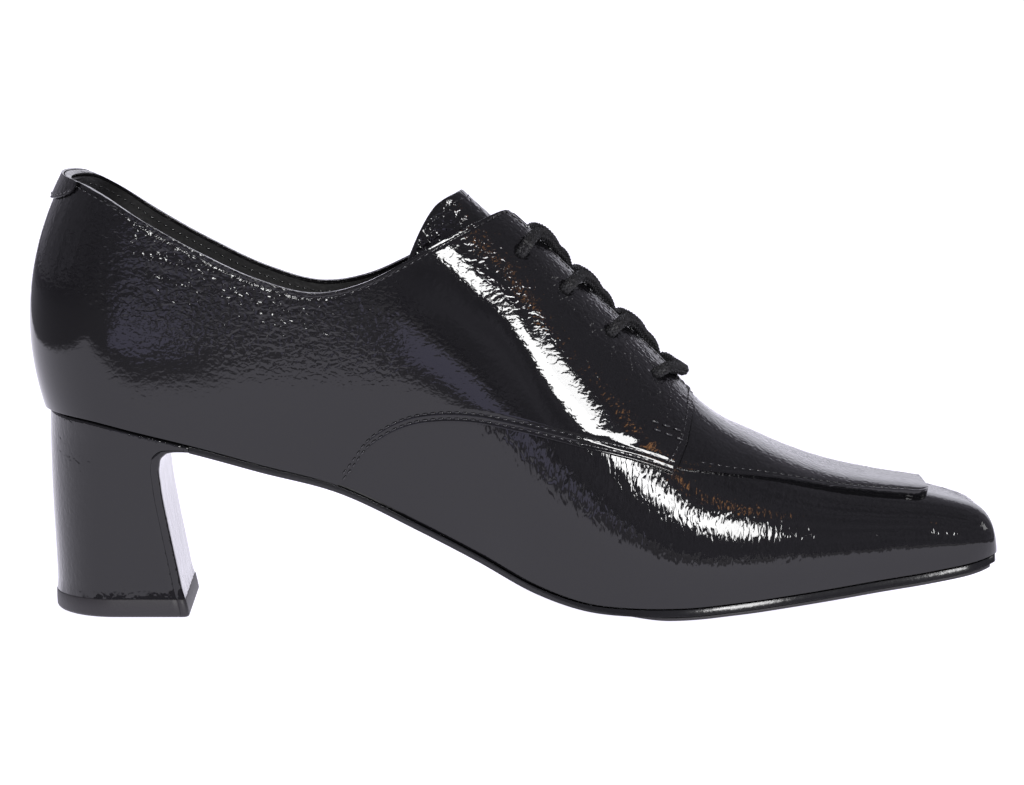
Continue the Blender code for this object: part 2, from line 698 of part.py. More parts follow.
def heel_plan(share, row, col, rows, columns, grow):
    """Plan point of the heel at a share of its height: round at the back, straight at the breast."""
    back = column(HEEL, HEEL_COLUMNS, "back", share) - grow
    breast = column(HEEL, HEEL_COLUMNS, "breast", share) + grow
    turned = column(HEEL, HEEL_COLUMNS, "round", share)
    round_rows = rows - 2
    if row <= round_rows:
        turn = HEEL_BACK_TURN + (math.pi / 2 - HEEL_BACK_TURN) * row / round_rows
        x = back + (breast - back) * turned * (1 - math.cos(turn))
        width = math.sin(turn)
    else:
        x = back + (breast - back) * (turned + (1 - turned) * (row - round_rows) / 2)
        width = 1.0
    half_width = column(HEEL, HEEL_COLUMNS, "half_width", share) + grow
    return x, (2 * col / columns - 1) * half_width * width


def make_heel(material, collection):
    shape = bmesh.new()
    rows, columns = 8, 8

    def place(row, col, level):
        share = HEEL[level, 0]
        x, y = heel_plan(share, row, col, rows, columns, 0.0)
        return (x, y, HEEL_BOTTOM + share * (seat_height(x) - HEEL_BOTTOM))

    add_block(shape, rows, columns, len(HEEL), place)
    return new_object("heel_block", mesh_from("heel_block", shape), material, collection)


def make_top_piece(material, collection):
    shape = bmesh.new()
    rows, columns = 8, 8

    def place(row, col, level):
        height, inset = TOP_PIECE_LEVELS[level]
        x, y = heel_plan(0.0, row, col, rows, columns, TOP_PIECE_LEDGE - inset)
        return (x + TOP_PIECE_SLOPE * (TOP_PIECE_HEIGHT - height) * (row / rows), y, height)

    add_block(shape, rows, columns, len(TOP_PIECE_LEVELS), place)
    return new_object("top_piece", mesh_from("top_piece", shape), material, collection)


def facing_point(along, across, lift):
    """A point over the lacing: across is the distance from the ridge, negative to the inner side."""
    side = INNER if across < 0 else OUTER
    return face_point(along, angle_at_offset(along, abs(across), side), side, lift)


def eyelet_offset(along, side):
    return facing_edge(along, side) + EYELET_SETBACK


def cut_eyelets(things, side, cutters):
    """Punches the eyelets of one side through the upper and its quarter."""
    sign = -1 if side == INNER else 1
    for number, along in enumerate(EYELET_ROWS, start=1):
        across = sign * eyelet_offset(along, side)
        middle = to_frame(facing_point(along, across, 0.0))
        top = to_frame(facing_point(along, across, 4.0))
        shape = bmesh.new()
        bmesh.ops.create_cone(
            shape, cap_ends=True, segments=12, radius1=EYELET_RADIUS * MM,
            radius2=EYELET_RADIUS * MM, depth=10.0 * MM,
        )
        turn = (top - middle).to_track_quat("Z", "Y").to_matrix().to_4x4()
        shape.transform(Matrix.Translation(middle) @ turn)
        data = bpy.data.meshes.new(f"eyelet_{side}_{number}")
        shape.to_mesh(data)
        shape.free()
        hole = bpy.data.objects.new(data.name, data)
        hole.hide_render = True
        hole.display_type = "WIRE"
        cutters.objects.link(hole)
        for thing in things:
            cut(thing, hole)


def cord(name, points):
    """A round cord along a smooth line, as a closed mesh."""
    line = bpy.data.curves.new(name, "CURVE")
    line.dimensions = "3D"
    line.bevel_depth = LACE_RADIUS * MM
    line.bevel_resolution = 1
    line.use_fill_caps = True
    line.resolution_u = 2
    spline = line.splines.new("BEZIER")
    spline.bezier_points.add(len(points) - 1)
    for knot, point in zip(spline.bezier_points, points):
        knot.co = to_frame(point)
        knot.handle_left_type = knot.handle_right_type = "AUTO"
    guide = bpy.data.objects.new(f"{name}_line", line)
    data = bpy.data.meshes.new_from_object(guide)
    data.name = name
    bpy.data.objects.remove(guide)
    shape = bmesh.new()
    shape.from_mesh(data)
    bmesh.ops.remove_doubles(shape, verts=shape.verts, dist=0.02 * MM)
    bmesh.ops.recalc_face_normals(shape, faces=shape.faces)
    shape.to_mesh(data)
    shape.free()
    return data


def make_laces(material, collection, cutters):
    """A bar across the bottom eyelets and a crossing at each row above."""
    over = 2 * GAP + QUARTER_THICK + LACE_RADIUS
    first = EYELET_ROWS[0]
    inner, outer = -eyelet_offset(first, INNER), eyelet_offset(first, OUTER)
    bar = []
    for t in np.linspace(-1.0, 1.0, 7):
        across = (inner + outer) / 2 + (outer - inner) / 2 * t
        bar.append(facing_point(first + LACE_BAR_BOW * (1 - t**2), across, over))
    new_object("lace_bar_1", cord("lace_bar_1", bar), material, collection)
    for number, along in enumerate(EYELET_ROWS[1:], start=2):
        name = f"lace_cross_{number}"
        cords = []
        for sign, near, far in ((-1, INNER, OUTER), (1, OUTER, INNER)):
            edge = facing_edge(along, near)
            dive = facing_edge(along, far) - LACE_RADIUS - LACE_EDGE_CLEAR
            steps = (
                (eyelet_offset(along, near), 0.0, over), (edge + 3.5, 0.2, over),
                (edge + 0.6, 0.38, over - 0.1), (edge - 2.6, 0.58, over - 1.2),
                ((edge - dive) / 2, 0.74, LACE_MIDDLE_LIFT), (-dive, 1.0, LACE_DIVE_LIFT),
            )
            points = [
                facing_point(along + LACE_DIVE_FORWARD * share, sign * across, lift)
                for across, share, lift in steps
            ]
            cords.append(cord(f"{name}_{near}", points))
        thing = new_object(name, cords[0], material, collection)
        other = bpy.data.objects.new(f"{name}_other", cords[1])
        other.hide_render = True
        other.display_type = "WIRE"
        cutters.objects.link(other)
        cut(thing, other, "UNION")


def build():
    clear_scene()
    parts = new_collection("lace_up_pump")
    cutters = new_collection("cutters")
    patent = new_material("patent_leather", PATENT_BLACK, 0.12, 0.8)
    lining = new_material("lining_leather", LINING_BLACK, 0.5)
    waxed_lace = new_material("waxed_lace", LACE_BLACK, 0.4)
    rubber = new_material("rubber", RUBBER_BLACK, 0.7)
    make_top_piece(rubber, parts)
    make_heel(patent, parts)
    make_tread(rubber, parts)
    make_outsole(rubber, parts)
    make_insole(lining, parts)
    upper = make_upper(patent, parts)
    for side in (INNER, OUTER):
        quarter = make_quarter(side, patent, parts, cutters)
        cut_eyelets((upper, quarter), side, cutters)
    make_apron(patent, parts, cutters)
    make_heel_tab(patent, parts)
    make_tongue(patent, parts)
    make_laces(waxed_lace, parts, cutters)


build()
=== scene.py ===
# %% [markdown]
# # A lace-up pump in black crinkled patent leather
#
# The solids of this shoe are already modelled at their real size. This lesson dresses them: it lays
# fine leather panels, stitches, a braided lace and a covered heel over the same shape, and lights
# them as in a studio. Every size is in millimetres from the heel's back, as a shoemaker measures a
# last, and is turned into metres in the frame of the solids only when a mesh is made.

import math

import bmesh
import bpy
import numpy as np
from mathutils import Matrix, Vector


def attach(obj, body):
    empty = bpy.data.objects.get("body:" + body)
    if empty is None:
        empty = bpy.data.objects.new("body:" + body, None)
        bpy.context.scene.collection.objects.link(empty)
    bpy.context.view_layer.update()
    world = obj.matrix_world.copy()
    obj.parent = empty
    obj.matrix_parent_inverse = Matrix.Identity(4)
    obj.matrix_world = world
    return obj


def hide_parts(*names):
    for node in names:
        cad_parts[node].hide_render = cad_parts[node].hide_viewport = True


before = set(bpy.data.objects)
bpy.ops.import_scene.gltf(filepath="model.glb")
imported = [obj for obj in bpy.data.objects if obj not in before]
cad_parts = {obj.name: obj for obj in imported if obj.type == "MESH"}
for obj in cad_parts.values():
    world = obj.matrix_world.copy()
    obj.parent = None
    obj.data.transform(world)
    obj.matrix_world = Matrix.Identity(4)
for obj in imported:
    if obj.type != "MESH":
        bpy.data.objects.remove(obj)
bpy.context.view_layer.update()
MM = 0.001
print("solids:", ", ".join(sorted(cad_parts)))

# %% [markdown]
# ## The camera
#
# The photograph was taken from the inner side, a little above the shoe, with a long lens. A long
# lens is copied with a long focal length and a far camera, because only the distance sets how much
# nearer things grow.

# %% Camera
CAMERA_TARGET = Vector((0.0, 0.0, 0.05509))
CAMERA_DISTANCE = 1.3
CAMERA_ELEVATION = math.radians(8.0)
CAMERA_LENS, CAMERA_SENSOR = 177.55, 36.0

camera = bpy.data.objects.new("camera", bpy.data.cameras.new("camera"))
bpy.context.scene.collection.objects.link(camera)
camera.data.lens = CAMERA_LENS
camera.data.sensor_width = CAMERA_SENSOR
away = Vector((0.0, -math.cos(CAMERA_ELEVATION), math.sin(CAMERA_ELEVATION)))
camera.location = CAMERA_TARGET + away * CAMERA_DISTANCE
camera.rotation_euler = (-away).to_track_quat("-Z", "Y").to_euler()
bpy.context.scene.camera = camera
print("camera at", [round(c, 3) for c in camera.location])

# %% [markdown]
# ## The last
#
# A shoe is built over a last, a form of the foot. Its cross sections stand in a short table, and one
# function, `last_point`, blends them into the outer face of the upper: `along` runs from the heel to
# the toe, and `angle` from the feather edge, where the upper meets the sole, to the ridge on top. All
# panels are measured from that one face, so they fit the solids and each other. Against the solids,
# the ridge near the toe is 1.5 mm lower and the wall over the sole is drawn in a little rounder,
# because the photograph's outline and reflections run so.

# %% Sizes and sections of the last
INNER, OUTER = "inner", "outer"
SIGN = {INNER: -1.0, OUTER: 1.0}
QUARTER_TURN = math.pi / 2
TINY = 1e-6
HEEL_BACK = np.array((-123.96, 0.34, 0.0))
LENGTH = 246.7
HEEL_ROUND = 30.0
TOE_CORNER, TOE_FLAT, TOE_NOSE = 9.0, 11.0, 17.7
NOSE_IN, NOSE_OUT, NOSE_END = 4.0, 2.7, 0.5
TOE_SKEW, SKEW_START = 0.10, 200.0
UNDERCUT_POWER = 2.5
BACK_BULGE_Z, BACK_INSET, BACK_FADE = 75.0, 1.4, 50.0
BACK_LEAN_BELOW, BACK_LEAN_ABOVE = 0.0072, 0.0071

SECTION_COLUMNS = (
    "along", "feather_z", "centre_y", "inner_feather", "outer_feather",
    "inner_wide", "outer_wide", "ridge_z", "squareness", "roll",
)
SECTIONS = np.array([
    (0.0, 52.4, 0.0, 25.0, 25.0, 28.5, 28.5, 150.0, 0.60, 0.00),
    (15.0, 51.0, 0.0, 25.0, 25.0, 28.8, 28.8, 150.0, 0.60, 0.00),
    (30.0, 47.8, 0.0, 24.6, 24.8, 29.0, 29.0, 150.0, 0.60, 0.00),
    (45.0, 44.2, 0.0, 24.0, 25.0, 29.3, 29.5, 149.0, 0.60, 0.00),
    (60.0, 39.8, -0.3, 22.0, 25.0, 29.3, 30.2, 147.0, 0.62, 0.00),
    (80.0, 34.0, -1.4, 18.2, 26.2, 28.4, 32.4, 139.0, 0.67, 0.00),
    (100.0, 24.4, -3.0, 16.6, 29.4, 28.0, 36.0, 123.5, 0.72, 0.03),
    (115.0, 17.2, -4.8, 18.6, 33.8, 28.4, 40.0, 109.5, 0.74, 0.05),
    (130.0, 9.9, -6.0, 23.8, 38.6, 30.4, 44.0, 95.8, 0.80, 0.06),
    (142.0, 6.3, -6.2, 27.5, 41.5, 32.3, 46.1, 83.6, 0.90, 0.06),
    (155.0, 5.3, -6.2, 30.6, 43.4, 34.2, 47.4, 71.0, 1.02, 0.06),
    (163.0, 5.4, -6.0, 31.9, 43.5, 35.1, 47.3, 62.8, 1.04, 0.06),
    (167.5, 5.6, -5.8, 32.5, 43.0, 35.5, 46.8, 57.4, 0.98, 0.05),
    (171.5, 5.9, -5.6, 32.8, 42.4, 35.7, 46.0, 53.4, 0.88, 0.04),
    (178.0, 6.6, -5.2, 32.9, 40.6, 35.7, 44.0, 48.3, 0.75, 0.02),
    (185.0, 7.3, -4.8, 32.3, 38.0, 35.1, 41.2, 44.5, 0.65, 0.00),
    (193.0, 8.2, -4.5, 30.8, 34.6, 33.5, 37.5, 40.5, 0.56, 0.00),
    (204.0, 9.4, -4.1, 27.9, 29.9, 30.4, 32.4, 36.2, 0.48, 0.00),
    (217.0, 11.0, -4.0, 23.9, 24.9, 26.1, 27.1, 33.1, 0.43, 0.00),
    (229.0, 12.5, -4.0, 20.6, 21.2, 22.5, 23.1, 31.3, 0.41, 0.00),
    (240.0, 14.5, -4.0, 18.2, 18.6, 19.8, 20.2, 29.4, 0.40, 0.00),
    (248.0, 16.7, -4.0, 16.6, 17.0, 18.0, 18.4, 30.1, 0.40, 0.00),
])
print(f"last: {LENGTH} mm long, {len(SECTIONS)} sections")


# %% The face of the last
def column(table, names, name, at):
    """Smooth curve through one column of a table, read at one place or an array of places."""
    xs, ys = table[:, 0], table[:, names.index(name)]
    at = np.asarray(at, float)
    slopes = np.gradient(ys, xs)
    i = np.clip(np.searchsorted(xs, at) - 1, 0, len(xs) - 2)
    step = xs[i + 1] - xs[i]
    t = np.clip((at - xs[i]) / step, 0.0, 1.0)
    start = ys[i] * (1 + 2 * t) * (1 - t) ** 2 + step * slopes[i] * t * (1 - t) ** 2
    end = ys[i + 1] * t * t * (3 - 2 * t) - step * slopes[i + 1] * t * t * (1 - t)
    return start + end


def section(name, along):
    return column(SECTIONS, SECTION_COLUMNS, name, along)


def plan_half_width(kind, side, along):
    """Half width of the feather edge or of the widest line, with round heel and square toe."""
    width = section(f"{side}_{kind}", along)
    heel = np.clip(1 - along / HEEL_ROUND, 0.0, 1.0)
    corner = np.clip((along - (LENGTH - TOE_CORNER)) / TOE_CORNER, 0.0, 1.0)
    lost = section(f"{side}_{kind}", LENGTH) - TOE_FLAT
    return width * np.sqrt(1 - heel**2) - lost * (1 - np.sqrt(1 - corner**2))


def ridge_rise(along):
    """Height of the ridge over the feather edge, rolling down at the toe's front."""
    nose = np.clip((along - (LENGTH - TOE_NOSE)) / TOE_NOSE, 0.0, 1.0)
    rise = section("ridge_z", along) - section("feather_z", along)
    return NOSE_END + (rise - NOSE_END) * (1 - nose**NOSE_IN) ** (1 / NOSE_OUT)


def back_curve(height):
    """How far the heel's back lies in front of its deepest point."""
    under = np.clip(BACK_BULGE_Z - height, 0.0, None)
    over = np.clip(height - BACK_BULGE_Z, 0.0, None)
    return BACK_INSET + BACK_LEAN_BELOW * under**2 + BACK_LEAN_ABOVE * over**2


def plan_x(along, y, z):
    """Place along X: the heel's back curve and the skewed toe, added to the section's place."""
    heel = np.clip(1 - along / BACK_FADE, 0.0, 1.0) ** 2
    toe = np.clip((along - SKEW_START) / (LENGTH - SKEW_START), 0.0, 1.0) ** 2
    return along + back_curve(z) * heel - TOE_SKEW * (y - section("centre_y", along)) * toe


def last_point(along, angle, side):
    """Outer face of the upper, in millimetres."""
    along, angle = np.broadcast_arrays(np.asarray(along, float), np.asarray(angle, float))
    sine, cosine = np.sin(angle), np.clip(np.cos(angle), 0.0, 1.0)
    wide = plan_half_width("wide", side, along)
    feather = plan_half_width("feather", side, along)
    width = wide - (wide - feather) * (1 - sine) ** UNDERCUT_POWER
    across = SIGN[side] * width * cosine ** section("squareness", along)
    y = section("centre_y", along) + across
    z = section("feather_z", along) + ridge_rise(along) * sine
    z = z - section("roll", along) * across * sine**2
    return np.stack([plan_x(along, y, z), y, z], axis=-1)


def face_normal(along, angle, side):
    """Unit normal of the outer face, pointing out of the shoe."""
    along, angle = np.broadcast_arrays(np.asarray(along, float), np.asarray(angle, float))
    step_along, step_angle = 0.05, 0.004
    before = last_point(np.clip(along - step_along, 0, LENGTH), angle, side)
    after = last_point(np.clip(along + step_along, 0, LENGTH), angle, side)
    below = last_point(along, np.clip(angle - step_angle, 0, QUARTER_TURN), side)
    above = last_point(along, np.clip(angle + step_angle, 0, QUARTER_TURN), side)
    normal = np.cross(after - before, above - below) * -SIGN[side]
    return normal / np.linalg.norm(normal, axis=-1, keepdims=True)


def face_point(along, angle, side, lift):
    """A point lifted off the outer face along its normal; lift may be negative or an array."""
    lift = np.asarray(lift, float)[..., None]
    return last_point(along, angle, side) + face_normal(along, angle, side) * lift


def inside_edge(along, angle, side, inset):
    """Moves a line on the last down from an edge by an inset in millimetres."""
    step = 0.01
    rise = last_point(along, angle, side) - last_point(along, angle - step, side)
    return angle - inset * step / np.maximum(np.linalg.norm(rise, axis=-1), TINY)


def angle_at_height(along, height):
    share = (height - section("feather_z", along)) / np.maximum(ridge_rise(along), TINY)
    return np.arcsin(np.clip(share, 0.0, 1.0))


def angle_at_offset(along, offset, side):
    """Angle where the section is this far from its centre, near the ridge."""
    half_width = np.maximum(plan_half_width("wide", side, along), TINY)
    share = np.clip(offset / half_width, 0.0, 1.0)
    return np.arccos(share ** (1 / section("squareness", along)))


def to_frame(points):
    """Millimetres from the heel's back to metres in the frame of the solids."""
    return (np.asarray(points, float) + HEEL_BACK) * MM


print("ridge at the ball:", np.round(last_point(155.0, QUARTER_TURN, INNER), 1))

# %% [markdown]
# ## The lines that cut the upper into panels
#
# The collar's top line, the two facings that carry the eyelets, the seam where the quarter lies over
# the vamp and the outline of the raised apron are curves on the last. They could be drawn as curve
# objects, but stitches and folds have to run beside them, so each is a small table of points, read
# off the photograph and smoothed by a function.

# %% Panel lines
TOPLINE_COLUMNS = ("along", "height", "outer_drop")
TOPLINE = np.array([
    (0.0, 111.4, 0.0), (8.0, 110.8, 0.5), (17.0, 108.4, 1.4), (32.0, 101.2, 2.2),
    (45.0, 94.4, 2.4), (60.0, 87.5, 2.6), (75.0, 84.0, 3.0), (87.0, 86.6, 3.6),
    (97.0, 91.5, 3.8), (108.0, 97.2, 3.2), (118.0, 101.6, 2.2), (128.0, 104.6, 1.6),
])
THROAT_BACK, THROAT_FRONT = 97.0, 163.0
THROAT_COLUMNS = ("along", INNER, OUTER)
THROAT_GAP = np.array([
    (118.0, 6.5, 10.5), (130.0, 4.4, 8.6), (145.0, 3.6, 7.6), (163.0, 3.2, 7.0), (172.0, 3.0, 6.8),
])
FACING_CORNER, MOST_APART = 0.05, 30.0
SEAM_COLUMNS = ("along", "height")
SEAM = np.array([
    (80.3, 34.1), (83.0, 37.6), (87.0, 43.3), (92.0, 47.2), (98.0, 50.0), (105.0, 51.3),
    (113.5, 51.4), (126.0, 49.3), (141.0, 45.6), (156.0, 41.6), (164.4, 38.6),
])
SEAM_BACK, SEAM_FRONT = SEAM[0, 0], SEAM[-1, 0]
FACING_FRONT = np.array([
    (164.4, 38.6), (165.6, 40.6), (167.6, 45.5), (168.7, 51.0), (169.4, 57.0), (169.2, 66.0),
])
FEATHER_LIFT = 0.25


def facing_edge(along, side):
    """Distance of a facing's edge from the ridge."""
    return column(THROAT_GAP, THROAT_COLUMNS, side, along)


def collar_height(along, side):
    height = column(TOPLINE, TOPLINE_COLUMNS, "height", along)
    drop = column(TOPLINE, TOPLINE_COLUMNS, "outer_drop", along)
    return height - (drop if side == OUTER else 0.0)


def wall_top(along, side):
    """Angle where the wall ends: at the collar's top line or at the facing's edge."""
    along = np.asarray(along, float)
    collar = angle_at_height(along, collar_height(along, side))
    facing = angle_at_offset(along, facing_edge(along, side), side)
    apart = np.clip((collar - facing) / FACING_CORNER, -MOST_APART, MOST_APART)
    rounded = facing - FACING_CORNER * np.log1p(np.exp(-apart))
    edge = np.where(along < THROAT_BACK, collar, np.minimum(rounded, collar))
    return np.where(along > THROAT_FRONT, facing, edge)


def facing_front(height):
    """Place of the facing's front edge at a height."""
    places, heights = FACING_FRONT.T
    return np.interp(height, heights, places)


def seam_height(along):
    """Lower edge of the quarter: along the sole behind the waist, then up over the vamp."""
    on_sole = section("feather_z", along) + FEATHER_LIFT
    return np.where(along < SEAM_BACK, on_sole, column(SEAM, SEAM_COLUMNS, "height", along))


print("collar is lowest at", round(float(collar_height(75.0, INNER)), 1), "mm over the floor")

# %% [markdown]
# ## From points to pieces
#
# Three small tools make nearly every piece. `add_grid` starts from Blender's own grid and lays its
# vertices on a surface. `make_panel` draws such a grid in to a second surface, which gives a closed
# skin with the thickness of the leather, and bevels its rim. `add_tube` rolls a grid up and closes
# its ends.


# %% Modelling tools
def add_grid(shape, points, start=0):
    """Lays a grid over an array of points, and numbers its vertices from start."""
    rows, columns = points.shape[0] - 1, points.shape[1] - 1
    number = shape.verts.layers.int.get("number") or shape.verts.layers.int.new("number")
    made = bmesh.ops.create_grid(
        shape, x_segments=columns, y_segments=rows, size=0.5, matrix=Matrix.Identity(4)
    )
    places = to_frame(points)
    for vertex in made["verts"]:
        row = round((vertex.co.y + 0.5) * rows)
        col = round((vertex.co.x + 0.5) * columns)
        vertex[number] = start + row * (columns + 1) + col
        vertex.co = places[row, col]


def draw_in(shape, inner_points, rim_round):
    """Draws a sheet in to its inner face and rounds the rim."""
    number = shape.verts.layers.int["number"]
    places = to_frame(inner_points.reshape(-1, 3))
    outside = set(shape.faces)
    drawn = bmesh.ops.extrude_face_region(shape, geom=list(shape.faces))["geom"]
    inside = {g for g in drawn if isinstance(g, bmesh.types.BMFace)}
    for vertex in (g for g in drawn if isinstance(g, bmesh.types.BMVert)):
        vertex.co = places[vertex[number]]
    bmesh.ops.recalc_face_normals(shape, faces=shape.faces)
    rim = set(shape.faces) - outside - inside
    edges = [e for e in shape.edges if sum(f in rim for f in e.link_faces) == 1]
    if rim_round:
        bmesh.ops.bevel(
            shape, geom=edges, offset=rim_round * MM, offset_type="OFFSET", affect="EDGES",
            segments=3, profile=0.5, material=-1, clamp_overlap=True,
        )


SHARP_ANGLE = math.radians(50.0)


def finish_piece(name, shape, material, nodes=(), sharp=True):
    """Turns a bmesh into a piece that rides on the shoe and stands for its solids."""
    data = bpy.data.meshes.new(name)
    shape.to_mesh(data)
    shape.free()
    data.shade_smooth()
    if sharp:
        data.set_sharp_from_angle(angle=SHARP_ANGLE)
    data.materials.append(material)
    piece = bpy.data.objects.new(name, data)
    bpy.context.scene.collection.objects.link(piece)
    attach(piece, "root")
    if nodes:
        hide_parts(*nodes)
    print(f"{name}: {sum(len(p.vertices) - 2 for p in data.polygons)} triangles")
    return piece


def make_panel(name, outer_points, inner_points, rim_round, material, nodes=()):
    shape = bmesh.new()
    add_grid(shape, outer_points)
    draw_in(shape, inner_points, rim_round)
    return finish_piece(name, shape, material, nodes)


TUBE_WELD = 0.0005


def add_tube(shape, rings):
    """Rolls a grid of rings up into a closed tube with flat ends."""
    start = len(shape.verts)
    add_grid(shape, np.concatenate([rings, rings[:, :1]], axis=1), start)
    new = [v for v in shape.verts][start:]
    bmesh.ops.remove_doubles(shape, verts=new, dist=TUBE_WELD * MM)
    edges = [e for e in shape.edges if e.is_boundary]
    bmesh.ops.holes_fill(shape, edges=edges, sides=0)


def spread(start, end, count, gather=None):
    """Places from start to end, gathered at an end where the shape turns fast."""
    t = np.linspace(0.0, 1.0, count)
    if gather == "start":
        t = 1 - np.cos(t * QUARTER_TURN)
    if gather == "end":
        t = np.sin(t * QUARTER_TURN)
    return start + (end - start) * t


def stations(*runs):
    """Places from runs of (start, end, count, gather), each starting where the last one ended."""
    parts = [spread(*run) for run in runs]
    return np.concatenate([*(part[:-1] for part in parts[:-1]), parts[-1]])


print("modelling tools ready")

# %% [markdown]
# ## Crinkled patent leather
#
# Patent leather is leather under a clear, hard coat. Here the coat follows a crinkled grain, so the
# reflections of lamps break up at their edges. The base is nearly black, and the gloss comes from a
# low roughness and the coat. The crinkle could be modelled, but it is finer than the mesh, so it is
# bump in three sizes: a fine grain, sunken creases between flat cells, and a slow wave. Fades calm or
# deepen grain and creases from one end of a panel to the other, where the leather was pulled more.


# %% Patent leather
def new_material(name, colour, roughness, specular=0.5):
    material = bpy.data.materials.new(name)
    material.use_nodes = True
    shader = material.node_tree.nodes["Principled BSDF"]
    shader.inputs["Base Color"].default_value = (*colour, 1.0)
    shader.inputs["Roughness"].default_value = roughness
    shader.inputs["Specular IOR Level"].default_value = specular
    return material, material.node_tree.nodes, material.node_tree.links, shader


def stretched_place(nodes, links, stretch):
    """The piece's own coordinates, drawn out by stretch."""
    place = nodes.new("ShaderNodeTexCoord")
    mapping = nodes.new("ShaderNodeMapping")
    mapping.inputs["Scale"].default_value = stretch
    links.new(place.outputs["Object"], mapping.inputs["Vector"])
    return mapping.outputs["Vector"]


def add_noise(nodes, links, stretch, scale, detail, distortion=0.0):
    noise = nodes.new("ShaderNodeTexNoise")
    noise.inputs["Scale"].default_value = scale
    noise.inputs["Detail"].default_value = detail
    noise.inputs["Distortion"].default_value = distortion
    links.new(stretched_place(nodes, links, stretch), noise.inputs["Vector"])
    return noise


def add_bump(nodes, links, height, distance, before=None):
    bump = nodes.new("ShaderNodeBump")
    bump.inputs["Strength"].default_value = 1.0
    bump.inputs["Distance"].default_value = distance
    links.new(height, bump.inputs["Height"])
    if before:
        links.new(before.outputs["Normal"], bump.inputs["Normal"])
    return bump


def add_range(nodes, links, value, start, end, low=0.0, high=1.0, kind="SMOOTHSTEP"):
    """Turns a value that runs from start to end into one that runs from low to high."""
    share = nodes.new("ShaderNodeMapRange")
    share.interpolation_type = kind
    for socket, number in (("From Min", start), ("From Max", end), ("To Min", low), ("To Max", high)):
        share.inputs[socket].default_value = number
    links.new(value, share.inputs["Value"])
    return share.outputs["Result"]


WARP_SCALE, WARP_REACH = 0.6, 1.1


def add_creases(nodes, links, stretch, scale, width):
    """Flat cells between fine sunken creases: the distance to the edge of a warped cell pattern."""
    warp = add_noise(nodes, links, stretch, scale * WARP_SCALE, detail=1.0)
    shift = nodes.new("ShaderNodeVectorMath")
    shift.operation = "MULTIPLY_ADD"
    shift.inputs[1].default_value = (WARP_REACH / scale,) * 3
    links.new(warp.outputs["Color"], shift.inputs[0])
    links.new(stretched_place(nodes, links, stretch), shift.inputs[2])
    cells = nodes.new("ShaderNodeTexVoronoi")
    cells.feature = "DISTANCE_TO_EDGE"
    cells.inputs["Scale"].default_value = scale
    links.new(shift.outputs["Vector"], cells.inputs["Vector"])
    return add_range(nodes, links, cells.outputs["Distance"], 0.0, width)


def add_fade(nodes, links, direction, start, end, low, high, height=None):
    """A share that runs from low to high between two places in a direction, times any height given."""
    place = nodes.new("ShaderNodeTexCoord")
    reach = nodes.new("ShaderNodeVectorMath")
    reach.operation = "DOT_PRODUCT"
    reach.inputs[1].default_value = direction
    links.new(place.outputs["Object"], reach.inputs[0])
    fade = add_range(nodes, links, reach.outputs["Value"], start, end, low, high)
    if height is None:
        return fade
    scaled = nodes.new("ShaderNodeMath")
    scaled.operation = "MULTIPLY"
    links.new(fade, scaled.inputs[0])
    links.new(height, scaled.inputs[1])
    return scaled.outputs["Value"]


PATENT_BLACK, PATENT_GLOSS, PATENT_SHINE = (0.006, 0.0058, 0.0066), 0.05, 0.385
COAT_WEIGHT, COAT_ROUGHNESS, CREASE_WIDTH = 0.15, 0.02, 0.22


def patent_leather(name, stretch, grain, crease, wave, fades):
    """grain, crease and wave are (cells per metre, depth in metres). Each fade of grain and creases is
    (direction, start and end in metres along it, share before, share after)."""
    material, nodes, links, shader = new_material(name, PATENT_BLACK, PATENT_GLOSS, PATENT_SHINE)
    shader.inputs["Coat Weight"].default_value = COAT_WEIGHT
    shader.inputs["Coat Roughness"].default_value = COAT_ROUGHNESS
    coarse = add_noise(nodes, links, stretch, wave[0], detail=1.0, distortion=0.2).outputs["Fac"]
    fine = add_noise(nodes, links, stretch, grain[0], detail=1.5, distortion=0.5).outputs["Fac"]
    cracks = add_creases(nodes, links, stretch, crease[0], CREASE_WIDTH)
    for fade in fades:
        fine = add_fade(nodes, links, *fade, height=fine)
        cracks = add_fade(nodes, links, *fade, height=cracks)
    bump = add_bump(nodes, links, coarse, wave[1])
    bump = add_bump(nodes, links, cracks, crease[1], bump)
    bump = add_bump(nodes, links, fine, grain[1], bump)
    links.new(bump.outputs["Normal"], shader.inputs["Normal"])
    links.new(bump.outputs["Normal"], shader.inputs["Coat Normal"])
    return material


FORWARD, UP_AND_FORWARD = (1.0, 0.0, 0.0), (0.35, 0.0, 1.0)
TO_COLLAR, TO_FACING = (0.49, 0.0, 1.0), (1.0, 0.0, 1.0)
quarter_patent = patent_leather(
    "patent_quarter", (0.8, 1.0, 1.0), (820.0, 0.0002), (420.0, 0.00003), (150.0, 0.00003),
    ((UP_AND_FORWARD, 0.036, 0.052, 0.12, 1.0), (FORWARD, -0.06, -0.02, 1.0, 0.08),
     (FORWARD, -0.112, -0.096, 0.4, 1.0), (TO_COLLAR, 0.038, 0.052, 1.0, 1.6),
     (TO_FACING, 0.079, 0.094, 1.0, 10.0)),
)
vamp_patent = patent_leather(
    "patent_vamp", (1.6, 1.0, 0.45), (560.0, 0.0001), (420.0, 0.00002), (160.0, 0.00006),
    ((FORWARD, 0.07, 0.09, 1.0, 0.55), (UP_AND_FORWARD, 0.028, 0.04, 0.45, 1.0)),
)
apron_patent = patent_leather(
    "patent_apron", (1.0, 1.0, 1.0), (900.0, 0.00012), (380.0, 0.00003), (150.0, 0.0001),
    ((FORWARD, 0.06, 0.1, 1.0, 0.4),),
)
